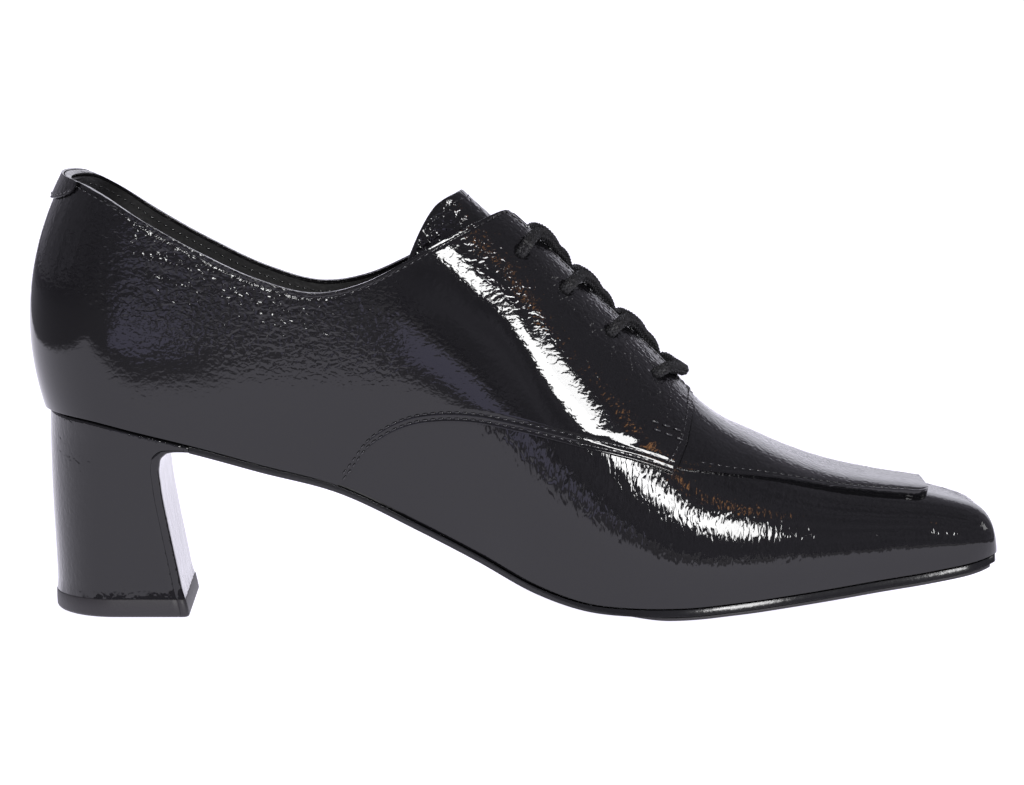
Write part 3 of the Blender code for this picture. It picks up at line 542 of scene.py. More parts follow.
heel_patent = patent_leather(
    "patent_heel", (1.0, 1.0, 0.8), (760.0, 0.00008), (400.0, 0.00001), (110.0, 0.0001), (),
)
tongue_patent = patent_leather(
    "patent_tongue", (1.0, 1.0, 1.0), (700.0, 0.0003), (420.0, 0.00006), (160.0, 0.0002), (),
)
patents = quarter_patent, vamp_patent, apron_patent, heel_patent, tongue_patent
print("patent finishes:", ", ".join(finish.name for finish in patents))

# %% [markdown]
# ## Lining, thread, lace and rubber
#
# The lining is a matt black leather. Thread and lace are waxed polyester, so they have a soft shine.
# The heel's top piece and the tread are hard rubber, and the sole's edge is stained and polished. All
# are plain blacks that differ in gloss and grain, so one function with a little bump makes them.


# %% Other finishes
def plain_finish(name, colour, roughness, grain, shine=0.4):
    """A plain colour with a grain of (cells per metre, depth in metres)."""
    material, nodes, links, shader = new_material(name, colour, roughness, shine)
    noise = add_noise(nodes, links, (1.0, 1.0, 1.0), grain[0], detail=3.0)
    bump = add_bump(nodes, links, noise.outputs["Fac"], grain[1])
    links.new(bump.outputs["Normal"], shader.inputs["Normal"])
    return material


lining_leather = plain_finish("lining_leather", (0.008, 0.0078, 0.008), 0.45, (900.0, 0.00008))
thread = plain_finish("thread", (0.014, 0.014, 0.015), 0.14, (3000.0, 0.00003), 0.8)
waxed_lace = plain_finish("waxed_lace", (0.009, 0.009, 0.0095), 0.5, (2600.0, 0.00006))
sole_edge = plain_finish("sole_edge", (0.008, 0.008, 0.009), 0.16, (700.0, 0.00003))
rubber = plain_finish("rubber", (0.024, 0.0225, 0.0245), 0.5, (1500.0, 0.00006))
print("other finishes:", lining_leather.name, thread.name, waxed_lace.name, sole_edge.name, rubber.name)

# %% [markdown]
# ## The lace
#
# A round waxed lace runs straight across the two lowest eyelets and then crosses at every row. Each
# crossing goes down through its eyelet, and forward over the facing's edge and the gap to dive under
# the other facing. A curve with a bevel would give a smooth cord, so the tube is rolled up from rings
# whose radius swells in a diamond pattern, which is how a braid looks.

# %% Lace routes
GAP, QUARTER_THICK = 0.3, 1.0
QUARTER_LIFT = GAP + QUARTER_THICK
EYELET_ROWS = (160.0, 148.5, 137.0, 126.0)
EYELET_SETBACK = 9.5
LACE_RADIUS = 1.42
LACE_LIFT = QUARTER_LIFT + GAP + LACE_RADIUS
DIVE_FORWARD, DIVE_MARGIN = 13.0, 0.7
BAR_BOW = 5.5
BRAID_PITCH, BRAID_STRANDS, BRAID_DEPTH = 2.4, 12, 0.26
LACE_STEP, LACE_SIDES = 0.22, 32
TIP_SHARE, TIP_GROWTH = 0.55, 0.15


def facing_point(along, across, lift):
    """A point over the lacing: across is the distance from the ridge, negative to the inner side."""
    side = INNER if across < 0 else OUTER
    return face_point(along, angle_at_offset(along, abs(across), side), side, lift)


def eyelet_offset(along, side):
    return facing_edge(along, side) + EYELET_SETBACK


def smooth_line(points, step):
    """A smooth curve through a few points, with places a step apart."""
    points = np.array(points)
    knots = np.concatenate([[0.0], np.cumsum(np.linalg.norm(np.diff(points, axis=0), axis=1))])
    names = ("at", "x", "y", "z")
    table = np.column_stack([knots, points])
    at = np.linspace(0.0, knots[-1], max(int(knots[-1] / step), 2))
    return np.stack([column(table, names, name, at) for name in names[1:]], axis=-1)


def braid_rings(line, radius):
    """Rings of a braided cord round a line, carried along without twisting."""
    tangents = np.gradient(line, axis=0)
    tangents /= np.linalg.norm(tangents, axis=1, keepdims=True)
    side = np.cross(tangents[0], (0.0, 0.0, 1.0))
    rings = []
    turns = np.linspace(0.0, 2 * math.pi, LACE_SIDES, endpoint=False)
    travel = 0.0
    for number, (place, tangent) in enumerate(zip(line, tangents)):
        side = side - tangent * (side @ tangent)
        side /= np.linalg.norm(side)
        up = np.cross(side, tangent)
        if number:
            travel += np.linalg.norm(place - line[number - 1])
        phase = 2 * math.pi * travel / BRAID_PITCH
        strands = np.sin(turns * BRAID_STRANDS / 2 + phase) * np.sin(turns * BRAID_STRANDS / 2 - phase)
        swell = radius - BRAID_DEPTH + BRAID_DEPTH * 2 * np.abs(strands)
        end = min(number, len(line) - 1 - number)
        swell = swell * min(1.0, TIP_SHARE + TIP_GROWTH * end)
        rings.append(place + (np.cos(turns) * swell)[:, None] * side + (np.sin(turns) * swell)[:, None] * up)
    return np.array(rings)


def make_lace(name, lines, node):
    shape = bmesh.new()
    for line in lines:
        add_tube(shape, braid_rings(line, LACE_RADIUS))
    bmesh.ops.recalc_face_normals(shape, faces=shape.faces)
    return finish_piece(name, shape, waxed_lace, [node])


print("eyelet rows at", EYELET_ROWS)

# %% Lace pieces
first = EYELET_ROWS[0]
inner_end, outer_end = -eyelet_offset(first, INNER), eyelet_offset(first, OUTER)
BAR_STEPS = ((-1.0, -2.2), (-1.0, 0.9), (-0.93, LACE_LIFT - 0.3), (-0.6, LACE_LIFT), (-0.25, LACE_LIFT))
bar = [*BAR_STEPS, *((-t, lift) for t, lift in reversed(BAR_STEPS))]
bar_points = []
for t, lift in bar:
    across = (inner_end + outer_end) / 2 + (outer_end - inner_end) / 2 * t
    bar_points.append(facing_point(first + BAR_BOW * (1 - t**2), across, lift))
make_lace("lace_bar_1", [smooth_line(bar_points, LACE_STEP)], "lace_bar_1")

MIDDLE_LIFT = {INNER: 1.7, OUTER: -1.1}
for row, along in enumerate(EYELET_ROWS[1:], start=2):
    lines = []
    for near, far in ((INNER, OUTER), (OUTER, INNER)):
        edge = facing_edge(along, near)
        dive = facing_edge(along, far) - LACE_RADIUS - DIVE_MARGIN
        hole = eyelet_offset(along, near)
        # Each step: distance from the ridge, share of the way forward, lift over the last.
        steps = (
            (hole + 0.3, -0.02, -2.2), (hole + 0.1, -0.01, 0.9), (hole - 1.0, 0.03, LACE_LIFT - 0.4),
            (edge + 3.5, 0.2, LACE_LIFT), (edge + 0.6, 0.38, LACE_LIFT - 0.1),
            (edge - 2.6, 0.58, LACE_LIFT - 1.2), ((edge - dive) / 2, 0.74, MIDDLE_LIFT[near]),
            (-dive, 1.0, -0.8), (-dive - 3.0, 1.12, -2.3),
        )
        points = [
            facing_point(along + DIVE_FORWARD * share, SIGN[near] * across, lift)
            for across, share, lift in steps
        ]
        lines.append(smooth_line(points, LACE_STEP))
    make_lace(f"lace_cross_{row}", lines, f"lace_cross_{row}")

# %% [markdown]
# ## The vamp
#
# The vamp covers the front of the foot and runs back under the quarters. One sheet could be bent over
# the foot, but the last's sides differ, so it is laid on as two grids, one for each side, that meet on
# the ridge and are welded there.

# %% Vamp
VAMP_COLUMNS = 40
VAMP_BACK = 72.0
VAMP_UNDERLAP, VAMP_CLOSING = 9.0, 6.0
VAMP_LIFTS = (0.0, -0.7)
WALL_WELD = 0.01


def vamp_top(along, side):
    """The vamp ends under the quarter, and closes over the foot in front of the throat."""
    under = angle_at_height(along, seam_height(along) + VAMP_UNDERLAP)
    closing = np.clip((along - (THROAT_FRONT - VAMP_CLOSING)) / VAMP_CLOSING, 0.0, 1.0)
    return under + (QUARTER_TURN - under) * closing


def make_wall(name, places, top, lifts, columns, material, nodes=()):
    """Both sides of the foot, from the feather edge up to an edge, welded on the ridge."""
    shape = bmesh.new()
    inner_faces = []
    for side in (INNER, OUTER):
        angle = top(places, side)[:, None] * np.linspace(0.0, 1.0, columns + 1)
        outer, inner = (face_point(places[:, None], angle, side, lift) for lift in lifts)
        add_grid(shape, outer, len(shape.verts))
        inner_faces.append(inner.reshape(-1, 3))
    bmesh.ops.remove_doubles(shape, verts=shape.verts, dist=WALL_WELD * MM)
    draw_in(shape, np.concatenate(inner_faces), 0.0)
    return finish_piece(name, shape, material, nodes)


vamp_places = stations(
    (VAMP_BACK, 156.0, 60), (156.0, 172.0, 26), (172.0, LENGTH - TOE_NOSE, 50),
    (LENGTH - TOE_NOSE, LENGTH, 34, "end"),
)
make_wall("vamp", vamp_places, vamp_top, VAMP_LIFTS, VAMP_COLUMNS, vamp_patent, ["upper"])

# %% [markdown]
# ## The lining
#
# Inside, a soft leather lining follows the whole upper. It has a finish of its own and shows at the
# collar, so it is a second wall and not the back of the panels. Its edge lies a little below the
# collar's folded edge.

# %% Lining
LINING_EDGE = 0.9
LINING_LIFTS = (-0.75, -1.6)
LINING_COLUMNS = 24


def lining_top(along, side):
    """Just under the collar's or facing's edge, and closed over the toes."""
    edge = inside_edge(along, wall_top(along, side), side, LINING_EDGE)
    return np.where(along > THROAT_FRONT, QUARTER_TURN, edge)


lining_places = stations(
    (0.0, HEEL_ROUND, 18, "start"), (HEEL_ROUND, 156.0, 60), (156.0, LENGTH - TOE_NOSE, 40),
    (LENGTH - TOE_NOSE, LENGTH, 18, "end"),
)
make_wall("lining", lining_places, lining_top, LINING_LIFTS, LINING_COLUMNS, lining_leather)

# %% [markdown]
# ## The quarters
#
# The two quarters wrap the heel and carry the facings. Their lower edge is a seam that sweeps over
# the vamp. A Boolean cut could give that outline, but it would break up the even faces that a mirror
# finish needs, so the grid itself bends forward until its last rows lie along the facing's front edge.
# Small dimples are pressed in at the eyelets. Short beaded ridges run down from the collar, and soft
# troughs lie beside the heel and over the seam.

# %% Quarters
EYELET_PRESS, EYELET_SPREAD = 0.6, 1.6
FRONT_BEND_START, FRONT_BEND_POWER, FACING_MIDDLE = 138.0, 1.6, 167.0
COLLAR_FOLD, COLLAR_FOLD_LIFT = 3.5, -0.65
THINNEST, QUARTER_RIM = 0.15, 0.4
BANK_SHARE, BANK_AWAY, CREASE_TAPER = 0.4, 1.6, 0.1
CREASES = np.array([
    (59.4, 81.6, 61.4, 75.2, 0.4, -0.2, 3),
    (62.2, 83.6, 64.2, 74.6, 0.4, -0.2, 4),
    (65.4, 74.4, 66.4, 69.0, 0.4, -0.18, 3),
    (68.5, 72.4, 70.6, 66.8, 0.4, -0.18, 3),
    (28.0, 96.0, 41.0, 93.0, 1.4, 0.12, 0),
    (30.0, 90.5, 44.0, 87.0, 1.5, 0.10, 0),
    (128.0, 47.0, 158.0, 46.0, 1.6, 0.10, 0),
])


def crease_drop(points):
    """Soft troughs with a slight bank round each, or ridges where the depth is negative."""
    drop = np.zeros(points.shape[:-1])
    flat = points[..., (0, 2)]
    for start_x, start_z, end_x, end_z, width, depth, beads in CREASES:
        start, run = np.array((start_x, start_z)), np.array((end_x - start_x, end_z - start_z))
        t = np.clip(((flat - start) @ run) / (run @ run), 0.0, 1.0)
        away = np.linalg.norm(flat - start - t[..., None] * run, axis=-1) / width
        bank = BANK_SHARE * np.exp(-((away - BANK_AWAY) ** 2))
        profile = (1 + BANK_SHARE) * np.exp(-away**2) - bank
        swell = np.sin(math.pi * (CREASE_TAPER + (1 - 2 * CREASE_TAPER) * t))
        if beads:
            swell = 0.5 - 0.5 * np.cos(2 * math.pi * beads * t)
        drop += depth * swell * profile
    return drop


def quarter_sheet(side):
    """Places and angles of the quarter's grid."""
    base = stations(
        (0.001, HEEL_ROUND, 26, "start"), (HEEL_ROUND, 56.0, 20), (56.0, 73.0, 52), (73.0, 90.0, 14),
        (90.0, 120.0, 36), (120.0, SEAM_FRONT, 62),
    )
    share = stations((0.0, 0.07, 13), (0.07, 0.93, 66), (0.93, 1.0, 15))
    low = angle_at_height(base, seam_height(base))
    front_top = float(wall_top(FACING_FRONT[-1, 0], side))
    front_angle = low[-1] + (front_top - low[-1]) * share
    front_height = section("feather_z", FACING_MIDDLE) + ridge_rise(FACING_MIDDLE) * np.sin(front_angle)
    forward = facing_front(front_height) - SEAM_FRONT
    bend = np.clip((base - FRONT_BEND_START) / (SEAM_FRONT - FRONT_BEND_START), 0.0, 1.0)
    along = base[:, None] + forward[None, :] * bend[:, None] ** FRONT_BEND_POWER
    top = wall_top(along[:, -1], side)
    angle = low[:, None] + (top - low)[:, None] * share
    return along, angle


COLLAR_STITCH, SEAM_STITCHES, FRONT_STITCH = 1.3, (0.9, 2.5), 1.3
GROOVE_DEPTH, GROOVE_WIDTH = 0.14, 0.4


def groove(distance, inset):
    """The thread of a stitch row pulls the leather in along its line."""
    return GROOVE_DEPTH * np.exp(-(((distance - inset) / GROOVE_WIDTH) ** 2))


def quarter_lifts(along, angle, side):
    """Outer and inner lift over the last: pressed at the eyelets and creases, folded at the collar."""
    face = last_point(along, angle, side)
    outer = QUARTER_LIFT - crease_drop(face)
    for row in EYELET_ROWS:
        hole = facing_point(row, SIGN[side] * eyelet_offset(row, side), 0.0)
        reach = np.linalg.norm(face - hole, axis=-1) / EYELET_SPREAD
        outer -= EYELET_PRESS * np.exp(-(reach**4))
    to_edge = np.linalg.norm(face - face[:, -1:], axis=-1)
    to_seam = np.linalg.norm(face - face[:, :1], axis=-1)
    to_front = np.linalg.norm(face - face[-1:, :], axis=-1)
    outer -= groove(to_edge, COLLAR_STITCH) + groove(to_front, FRONT_STITCH)
    for inset in SEAM_STITCHES:
        outer -= groove(to_seam, inset) * (along > SEAM_BACK)
    fold = np.clip(1 - to_edge / COLLAR_FOLD, 0.0, 1.0)
    inner = GAP + (COLLAR_FOLD_LIFT - GAP) * fold * fold * (3 - 2 * fold)
    return outer, np.minimum(inner, outer - THINNEST)


quarter_grids = {}
for side in (INNER, OUTER):
    along, angle = quarter_sheet(side)
    outer, inner = quarter_lifts(along, angle, side)
    quarter_grids[side] = along, angle
    make_panel(
        f"quarter_{side}", face_point(along, angle, side, outer), face_point(along, angle, side, inner),
        QUARTER_RIM, quarter_patent, [f"quarter_{side}"],
    )

# %% [markdown]
# ## The apron
#
# The raised apron on the vamp has a square front and a rolled edge. It could be pushed up out of the
# vamp's grid, but its edge runs across that grid, so it is one panel of its own over both sides of the
# ridge, with its back edge tucked against the facings.

# %% Apron
APRON_COLUMNS = ("along", INNER, OUTER)
APRON_EDGE = np.array([
    (166.0, 27.2, 33.0), (172.0, 26.6, 31.4), (181.0, 25.4, 28.8), (197.0, 21.6, 23.2),
    (212.0, 17.6, 18.4), (224.0, 14.6, 15.0),
])
APRON_START, APRON_FRONT, APRON_CORNER, APRON_RIM = 168.6, 229.6, 5.0, 0.7
APRON_LOW, APRON_LIFT, APRON_RISE_START = 0.7, 1.7, 175.0
APRON_CLEAR = 0.45
APRON_STITCH = 1.3


def apron_half_width(along, side):
    wide = column(APRON_EDGE, APRON_COLUMNS, side, along)
    turn = np.clip((along - (APRON_FRONT - APRON_CORNER)) / APRON_CORNER, 0.0, 1.0)
    return wide - APRON_CORNER * (1 - np.sqrt(1 - turn**2))


def apron_side(side, share):
    """Places and angles of one side's grid, from the ridge (share 0) to the edge (share 1)."""
    offset = share * apron_half_width(APRON_START, side)
    height = last_point(APRON_START, angle_at_offset(APRON_START, offset, side), side)[..., 2]
    back = facing_front(height) + APRON_CLEAR
    run = stations((0.0, 0.9, 60), (0.9, 1.0, 22, "end"))
    along = back[None, :] + (APRON_FRONT - back)[None, :] * run[:, None]
    offset = share[None, :] * apron_half_width(along, side)
    return along, angle_at_offset(along, offset, side)


half = stations((0.0, 0.88, 24), (0.88, 1.0, 13))
inner_along, inner_angle = apron_side(INNER, half[::-1])
outer_along, outer_angle = apron_side(OUTER, half[1:])


def apron_lift(along):
    """The apron rises out of the vamp: low at the facings, full height at its square front."""
    rise = np.clip((along - APRON_RISE_START) / (APRON_FRONT - APRON_RISE_START), 0.0, 1.0)
    return APRON_LOW + (APRON_LIFT - APRON_LOW) * rise * rise * (3 - 2 * rise)


def apron_top(along, angle, side, rim):
    """Lift of the top face, pulled in by the stitches beside its rolled rim."""
    face = last_point(along, angle, side)
    to_rim = np.linalg.norm(face - face[:, rim][:, None], axis=-1)
    return apron_lift(along) - groove(to_rim, APRON_STITCH)


apron_outer = np.concatenate([
    face_point(inner_along, inner_angle, INNER, apron_top(inner_along, inner_angle, INNER, 0)),
    face_point(outer_along, outer_angle, OUTER, apron_top(outer_along, outer_angle, OUTER, -1)),
], axis=1)
apron_inner = np.concatenate([
    last_point(inner_along, inner_angle, INNER), last_point(outer_along, outer_angle, OUTER),
], axis=1)
make_panel("apron", apron_outer, apron_inner, APRON_RIM, apron_patent, ["apron"])

# %% [markdown]
# ## The tongue and the heel tab
#
# The tongue lies under the facings and stands up behind them. The heel tab is a small half-round
# leaf of leather that strengthens the top of the back seam. Both could be cut flat and bent; laid on
# the last's own face, a depth below it or a lift above it, they keep clear of what they lie on.

# %% Tongue
TONGUE_COLUMNS = ("along", "depth", "half_width", "side_drop")
TONGUE = np.array([
    (96.0, 4.0, 23.5, 9.0), (110.0, 3.6, 23.0, 9.0), (119.0, 3.5, 21.0, 5.0), (130.0, 3.4, 18.5, 1.5),
    (145.0, 3.2, 16.0, 0.3), (158.0, 2.7, 14.5, 0.0), (166.0, 2.2, 12.5, 0.0),
])
TONGUE_TOP, TONGUE_FRONT, TONGUE_THICK = 113.5, 165.5, 2.2
TONGUE_SWEEP = {INNER: 17.0, OUTER: 5.0}
TONGUE_RIM, SWEEP_POWER, DROP_POWER = 0.7, 2.2, 1.3


def tongue_value(name, along):
    return column(TONGUE, TONGUE_COLUMNS, name, along)


def tongue_spots(side, share, run):
    """Places, angles and depths of one side: share runs to its edge, run from its front to its top."""
    top = TONGUE_TOP - TONGUE_SWEEP[side] * share**SWEEP_POWER
    along = TONGUE_FRONT + (top - TONGUE_FRONT) * run
    angle = angle_at_offset(along, share * tongue_value("half_width", along), side)
    drop = tongue_value("side_drop", along) * share**DROP_POWER
    return along, angle, tongue_value("depth", along) + drop


def tongue_sheet(lift):
    share, run = np.linspace(0.0, 1.0, 21), np.linspace(0.0, 1.0, 70)[:, None]
    halves = []
    for side, places in ((INNER, share[::-1]), (OUTER, share[1:])):
        along, angle, depth = tongue_spots(side, places[None, :], run)
        halves.append(face_point(along, angle, side, lift - depth))
    return np.concatenate(halves, axis=1)


make_panel(
    "tongue", tongue_sheet(0.0), tongue_sheet(-TONGUE_THICK), TONGUE_RIM, tongue_patent,
    ["tongue"],
)

# %% Heel tab
TAB_REACH, TAB_DROP, TAB_EDGE, TAB_THICK, TAB_RIM = 8.5, 5.5, 0.9, 0.6, 0.2


def tab_spots(share_down):
    """Sides, places and angles across the tab, at a share of its hanging depth."""
    across = np.linspace(-1.0, 1.0, 41)
    spots = []
    for value in across:
        side = INNER if value < 0 else OUTER
        along = TAB_REACH * value**2
        high = float(collar_height(along, side))
        low = high - TAB_EDGE - TAB_DROP * math.sqrt(max(1 - value**2, 0.0))
        spots.append((along, angle_at_height(along, high + (low - high) * share_down), side))
    return spots


def tab_points(lift):
    rows = [[face_point(*spot, lift) for spot in tab_spots(share)] for share in np.linspace(0.0, 1.0, 13)]
    return np.array(rows)


TAB_LIFT = QUARTER_LIFT + GAP
make_panel(
    "heel_tab", tab_points(TAB_LIFT + TAB_THICK), tab_points(TAB_LIFT), TAB_RIM, quarter_patent,
    ["heel_tab"],
)

# %% [markdown]
# ## Sole, tread and insole
#
# The sole is a thin sheet that follows the foot from the heel's breast to the toe, with a rounded and
# polished edge. Under the forefoot that edge leans in a little at its top, so that it catches the light
# as a fine line. A thin tread lies under the forefoot, skived up into the sole at its back. Inside, an
# insole covers the sole. All three are sheets from one function, `sole_sheet`.

# %% Sole
SOLE_THICK, TREAD_THICK, INSOLE_THICK = 1.7, 0.9, 2.2
SOLE_LEDGE, SOLE_TOE_INSET, SOLE_TOE_START, SOLE_BACK = 0.8, 0.6, 230.0, 42.0
SOLE_LEAN, LEAN_START, LEAN_FULL = 0.4, 128.0, 158.0
SOLE_RIM, SOLE_COLUMNS, MOST_TURN = 0.6, 25, 2.0
TREAD_BACK, TREAD_FRONT, TREAD_INSET = 150.0, 245.0, 1.2
INSOLE_INSET, INSOLE_END_INSET = 2.5, 5.0
CROWN_COLUMNS = ("along", "crown")
CROWN = np.array([
    (0.0, 0.0), (100.0, 0.0), (130.0, 1.0), (145.0, 2.2), (155.0, 2.5), (165.0, 2.6), (175.0, 2.5),
    (205.0, 1.6), (248.0, 0.3),
])


def sole_sheet(places, columns, grow, drop):
    """A sheet under the foot: grown past the feather edge, and a drop below it."""
    along = np.asarray(places, float)[:, None]
    across = np.linspace(-1.0, 1.0, columns)[None, :]
    ahead, behind = np.minimum(along + 0.5, LENGTH), np.maximum(along - 0.5, 0.0)
    widths = []
    for side in (INNER, OUTER):
        change = plan_half_width("feather", side, ahead) - plan_half_width("feather", side, behind)
        turn = np.minimum(np.hypot(1.0, change / (ahead - behind)), MOST_TURN)
        widths.append(plan_half_width("feather", side, along) + grow * turn)
    width = np.where(across < 0, widths[0], widths[1])
    y = section("centre_y", along) + across * width
    z = section("feather_z", along) - column(CROWN, CROWN_COLUMNS, "crown", along) * (1 - across**2) - drop
    toe = np.clip((along - SOLE_TOE_START) / (LENGTH - SOLE_TOE_START), 0.0, 1.0) ** 3
    x = plan_x(along, y, z) - SOLE_TOE_INSET * toe
    return np.stack(np.broadcast_arrays(x, y, z), axis=-1)


CORNER_START = LENGTH - TOE_CORNER
sole_places = stations((SOLE_BACK, CORNER_START, 130), (CORNER_START, LENGTH, 16, "end"))
lean_in = SOLE_LEAN * np.clip((sole_places - LEAN_START) / (LEAN_FULL - LEAN_START), 0.0, 1.0)[:, None]
make_panel(
    "outsole", sole_sheet(sole_places, SOLE_COLUMNS, SOLE_LEDGE, GAP + SOLE_THICK),
    sole_sheet(sole_places, SOLE_COLUMNS, SOLE_LEDGE - lean_in, GAP), SOLE_RIM, sole_edge,
    ["outsole"],
)

# %% Tread and insole
tread_places = stations((TREAD_BACK, CORNER_START, 70), (CORNER_START, TREAD_FRONT, 10))
TREAD_TOP = 2 * GAP + SOLE_THICK
TREAD_SKIVE, TREAD_RIM = 14.0, 0.25
INSOLE_COLUMNS, INSOLE_RIM = 17, 0.3
skive = np.clip((tread_places - TREAD_BACK) / TREAD_SKIVE, 0.0, 1.0)[:, None]
tread_top = TREAD_TOP - (TREAD_THICK + GAP) * (1 - skive * skive * (3 - 2 * skive))
tread_grow = SOLE_LEDGE - TREAD_INSET
tread_low = sole_sheet(tread_places, SOLE_COLUMNS, tread_grow, tread_top + TREAD_THICK)
tread_low[..., 2] = np.maximum(tread_low[..., 2], 0.0)
make_panel(
    "forefoot_tread", tread_low, sole_sheet(tread_places, SOLE_COLUMNS, tread_grow, tread_top),
    TREAD_RIM, rubber, ["forefoot_tread"],
)
insole_places = stations(
    (0.0, HEEL_ROUND, 16, "start"), (HEEL_ROUND, CORNER_START, 70), (CORNER_START, LENGTH, 12, "end"),
)
insole_places = INSOLE_END_INSET + (LENGTH - 2 * INSOLE_END_INSET) * insole_places / LENGTH
make_panel(
    "insole", sole_sheet(insole_places, INSOLE_COLUMNS, -INSOLE_INSET, -INSOLE_THICK),
    sole_sheet(insole_places, INSOLE_COLUMNS, -INSOLE_INSET, 0.0), INSOLE_RIM, lining_leather,
    ["insole"],
)

# %% [markdown]
# ## The covered heel and its top piece
#
# The block heel is round at the back and flat at the breast, which flares forward under the sole. Its
# outline changes with height, so it is lofted: one closed outline for each level, rolled up into a
# tube. The cover puckers a little where it turns under the heel. The rubber top piece keeps the lowest
# outline, with its edges eased.

# %% Heel
HEEL_COLUMNS = ("share", "back", "breast", "half_width", "round_depth")
HEEL = np.array([
    (0.00, 6.7, 40.4, 20.6, 15.5), (0.20, 6.3, 38.8, 20.9, 15.6), (0.45, 5.7, 36.7, 21.6, 16.4),
    (0.70, 5.3, 34.9, 22.7, 18.1), (0.82, 5.2, 34.6, 23.4, 19.6), (0.89, 5.2, 35.6, 23.8, 19.9),
    (0.93, 5.2, 38.0, 24.1, 19.9), (0.96, 5.2, 43.2, 24.3, 19.9), (1.00, 5.2, 54.0, 24.4, 19.9),
])
FLARE_END = 43.0
SEAT_EASE, SEAT_EASE_START = 0.7, 0.982
TOP_PIECE_HEIGHT, TOP_PIECE_LEDGE, TOP_PIECE_SLOPE = 4.8, 0.4, 0.25
BREAST_CORNER = 1.2
COVER_FOLDS = ((0.0, 0.0), (0.7, 0.0), (1.0, 0.22), (1.3, 0.0))
HEM_FLARE, HEM_SHARE, HEM_POWER = 0.4, 0.065, 1.5
HEM_EVEN, HEM_WAVE, HEM_PUCKERS = 0.7, 0.15, (23.0, 41.0)
SEAT_REACH = 60.0


def heel_value(name, share):
    return float(column(HEEL, HEEL_COLUMNS, name, share))


def heel_outline(share, grow):
    """Plan outline of the heel, from the middle of the breast round the back."""
    back = heel_value("back", share) - grow
    breast = min(heel_value("breast", share), FLARE_END) + grow
    half_width = heel_value("half_width", share) + grow
    deep = heel_value("round_depth", share) + grow
    half = [(breast, y) for y in np.linspace(0.0, half_width - BREAST_CORNER, 12)]
    for turn in np.radians((22.5, 45.0, 67.5)):
        x = breast - BREAST_CORNER * (1 - math.cos(turn))
        half.append((x, half_width - BREAST_CORNER * (1 - math.sin(turn))))
    half += [(breast - BREAST_CORNER - behind, half_width - inset) for behind, inset in COVER_FOLDS]
    side_front = breast - BREAST_CORNER - 2 * COVER_FOLDS[-1][0]
    half += [(x, half_width) for x in np.linspace(side_front, back + deep, 7)]
    for turn in np.linspace(0.0, QUARTER_TURN, 26)[1:]:
        half.append((back + deep * (1 - math.sin(turn)), half_width * math.cos(turn)))
    other = [(x, -y) for x, y in reversed(half[1:-1])]
    return np.array(half + other)


def seat_height(x):
    """Height of the heel's top face, just under the feather edge."""
    along = np.linspace(0.0, SEAT_REACH, 121)
    height = section("feather_z", along)
    return np.interp(x, plan_x(along, 0.0, height), height) - GAP


def heel_ring(share):
    """Outline at a share of the heel's height: eased under the seat, puckered over the top piece."""
    ease = max(share - SEAT_EASE_START, 0.0) / (1 - SEAT_EASE_START)
    outline = heel_outline(share, -SEAT_EASE * ease**2)
    hem = max(1 - share / HEM_SHARE, 0.0) ** HEM_POWER
    round_the_heel = np.linspace(0.0, 2 * math.pi, len(outline), endpoint=False)
    puckers = sum(np.sin(count * round_the_heel) for count in HEM_PUCKERS)
    flare = HEM_FLARE * hem * (HEM_EVEN + HEM_WAVE * puckers)[:, None]
    outline += (heel_outline(share, 1.0) - heel_outline(share, 0.0)) * flare
    z = TOP_PIECE_HEIGHT + share * (seat_height(outline[:, 0]) - TOP_PIECE_HEIGHT)
    return np.column_stack([outline, z])


heel_shares = stations((0.0, HEM_SHARE, 12), (HEM_SHARE, 0.8, 38), (0.8, 1.0, 45))
shape = bmesh.new()
add_tube(shape, np.array([heel_ring(share) for share in heel_shares]))
bmesh.ops.recalc_face_normals(shape, faces=shape.faces)
finish_piece("heel_block", shape, heel_patent, ["heel_block"])

# %% Top piece
TOP_PIECE_LEVELS = (
    (0.0, 0.9), (0.15, 0.55), (0.45, 0.25), (0.8, 0.1), (2.4, 0.02), (4.5, 0.0), (4.72, 0.1), (4.8, 0.3),
)


def top_piece_ring(height, inset):
    outline = heel_outline(0.0, TOP_PIECE_LEDGE - inset)
    reach = (outline[:, 0] - outline[:, 0].min()) / np.ptp(outline[:, 0])
    x = outline[:, 0] + TOP_PIECE_SLOPE * (TOP_PIECE_HEIGHT - height) * reach
    return np.column_stack([x, outline[:, 1], np.full(len(x), height)])


shape = bmesh.new()
add_tube(shape, np.array([top_piece_ring(*level) for level in TOP_PIECE_LEVELS]))
bmesh.ops.recalc_face_normals(shape, faces=shape.faces)
finish_piece("top_piece", shape, rubber, ["top_piece"])

# %% [markdown]
# ## Stitches
#
# Each seam shows its thread as a row of short stitches that lie half in the leather. Bump would look
# flat from the side, so each stitch is a small stretched ball; a loop sets it down again and again, an
# even pitch apart, along a line on the last. The stitches of neighbouring seams are joined in one mesh.

# %% Stitch tools
STITCH_PITCH, STITCH_LENGTH, STITCH_WIDTH = 2.1, 1.6, 0.46
STITCH_LOOK = 0.2


def read_line(place, steps, points):
    """The point at a place on a line whose points lie at these steps."""
    return np.array([np.interp(place, steps, points[:, k]) for k in range(3)])


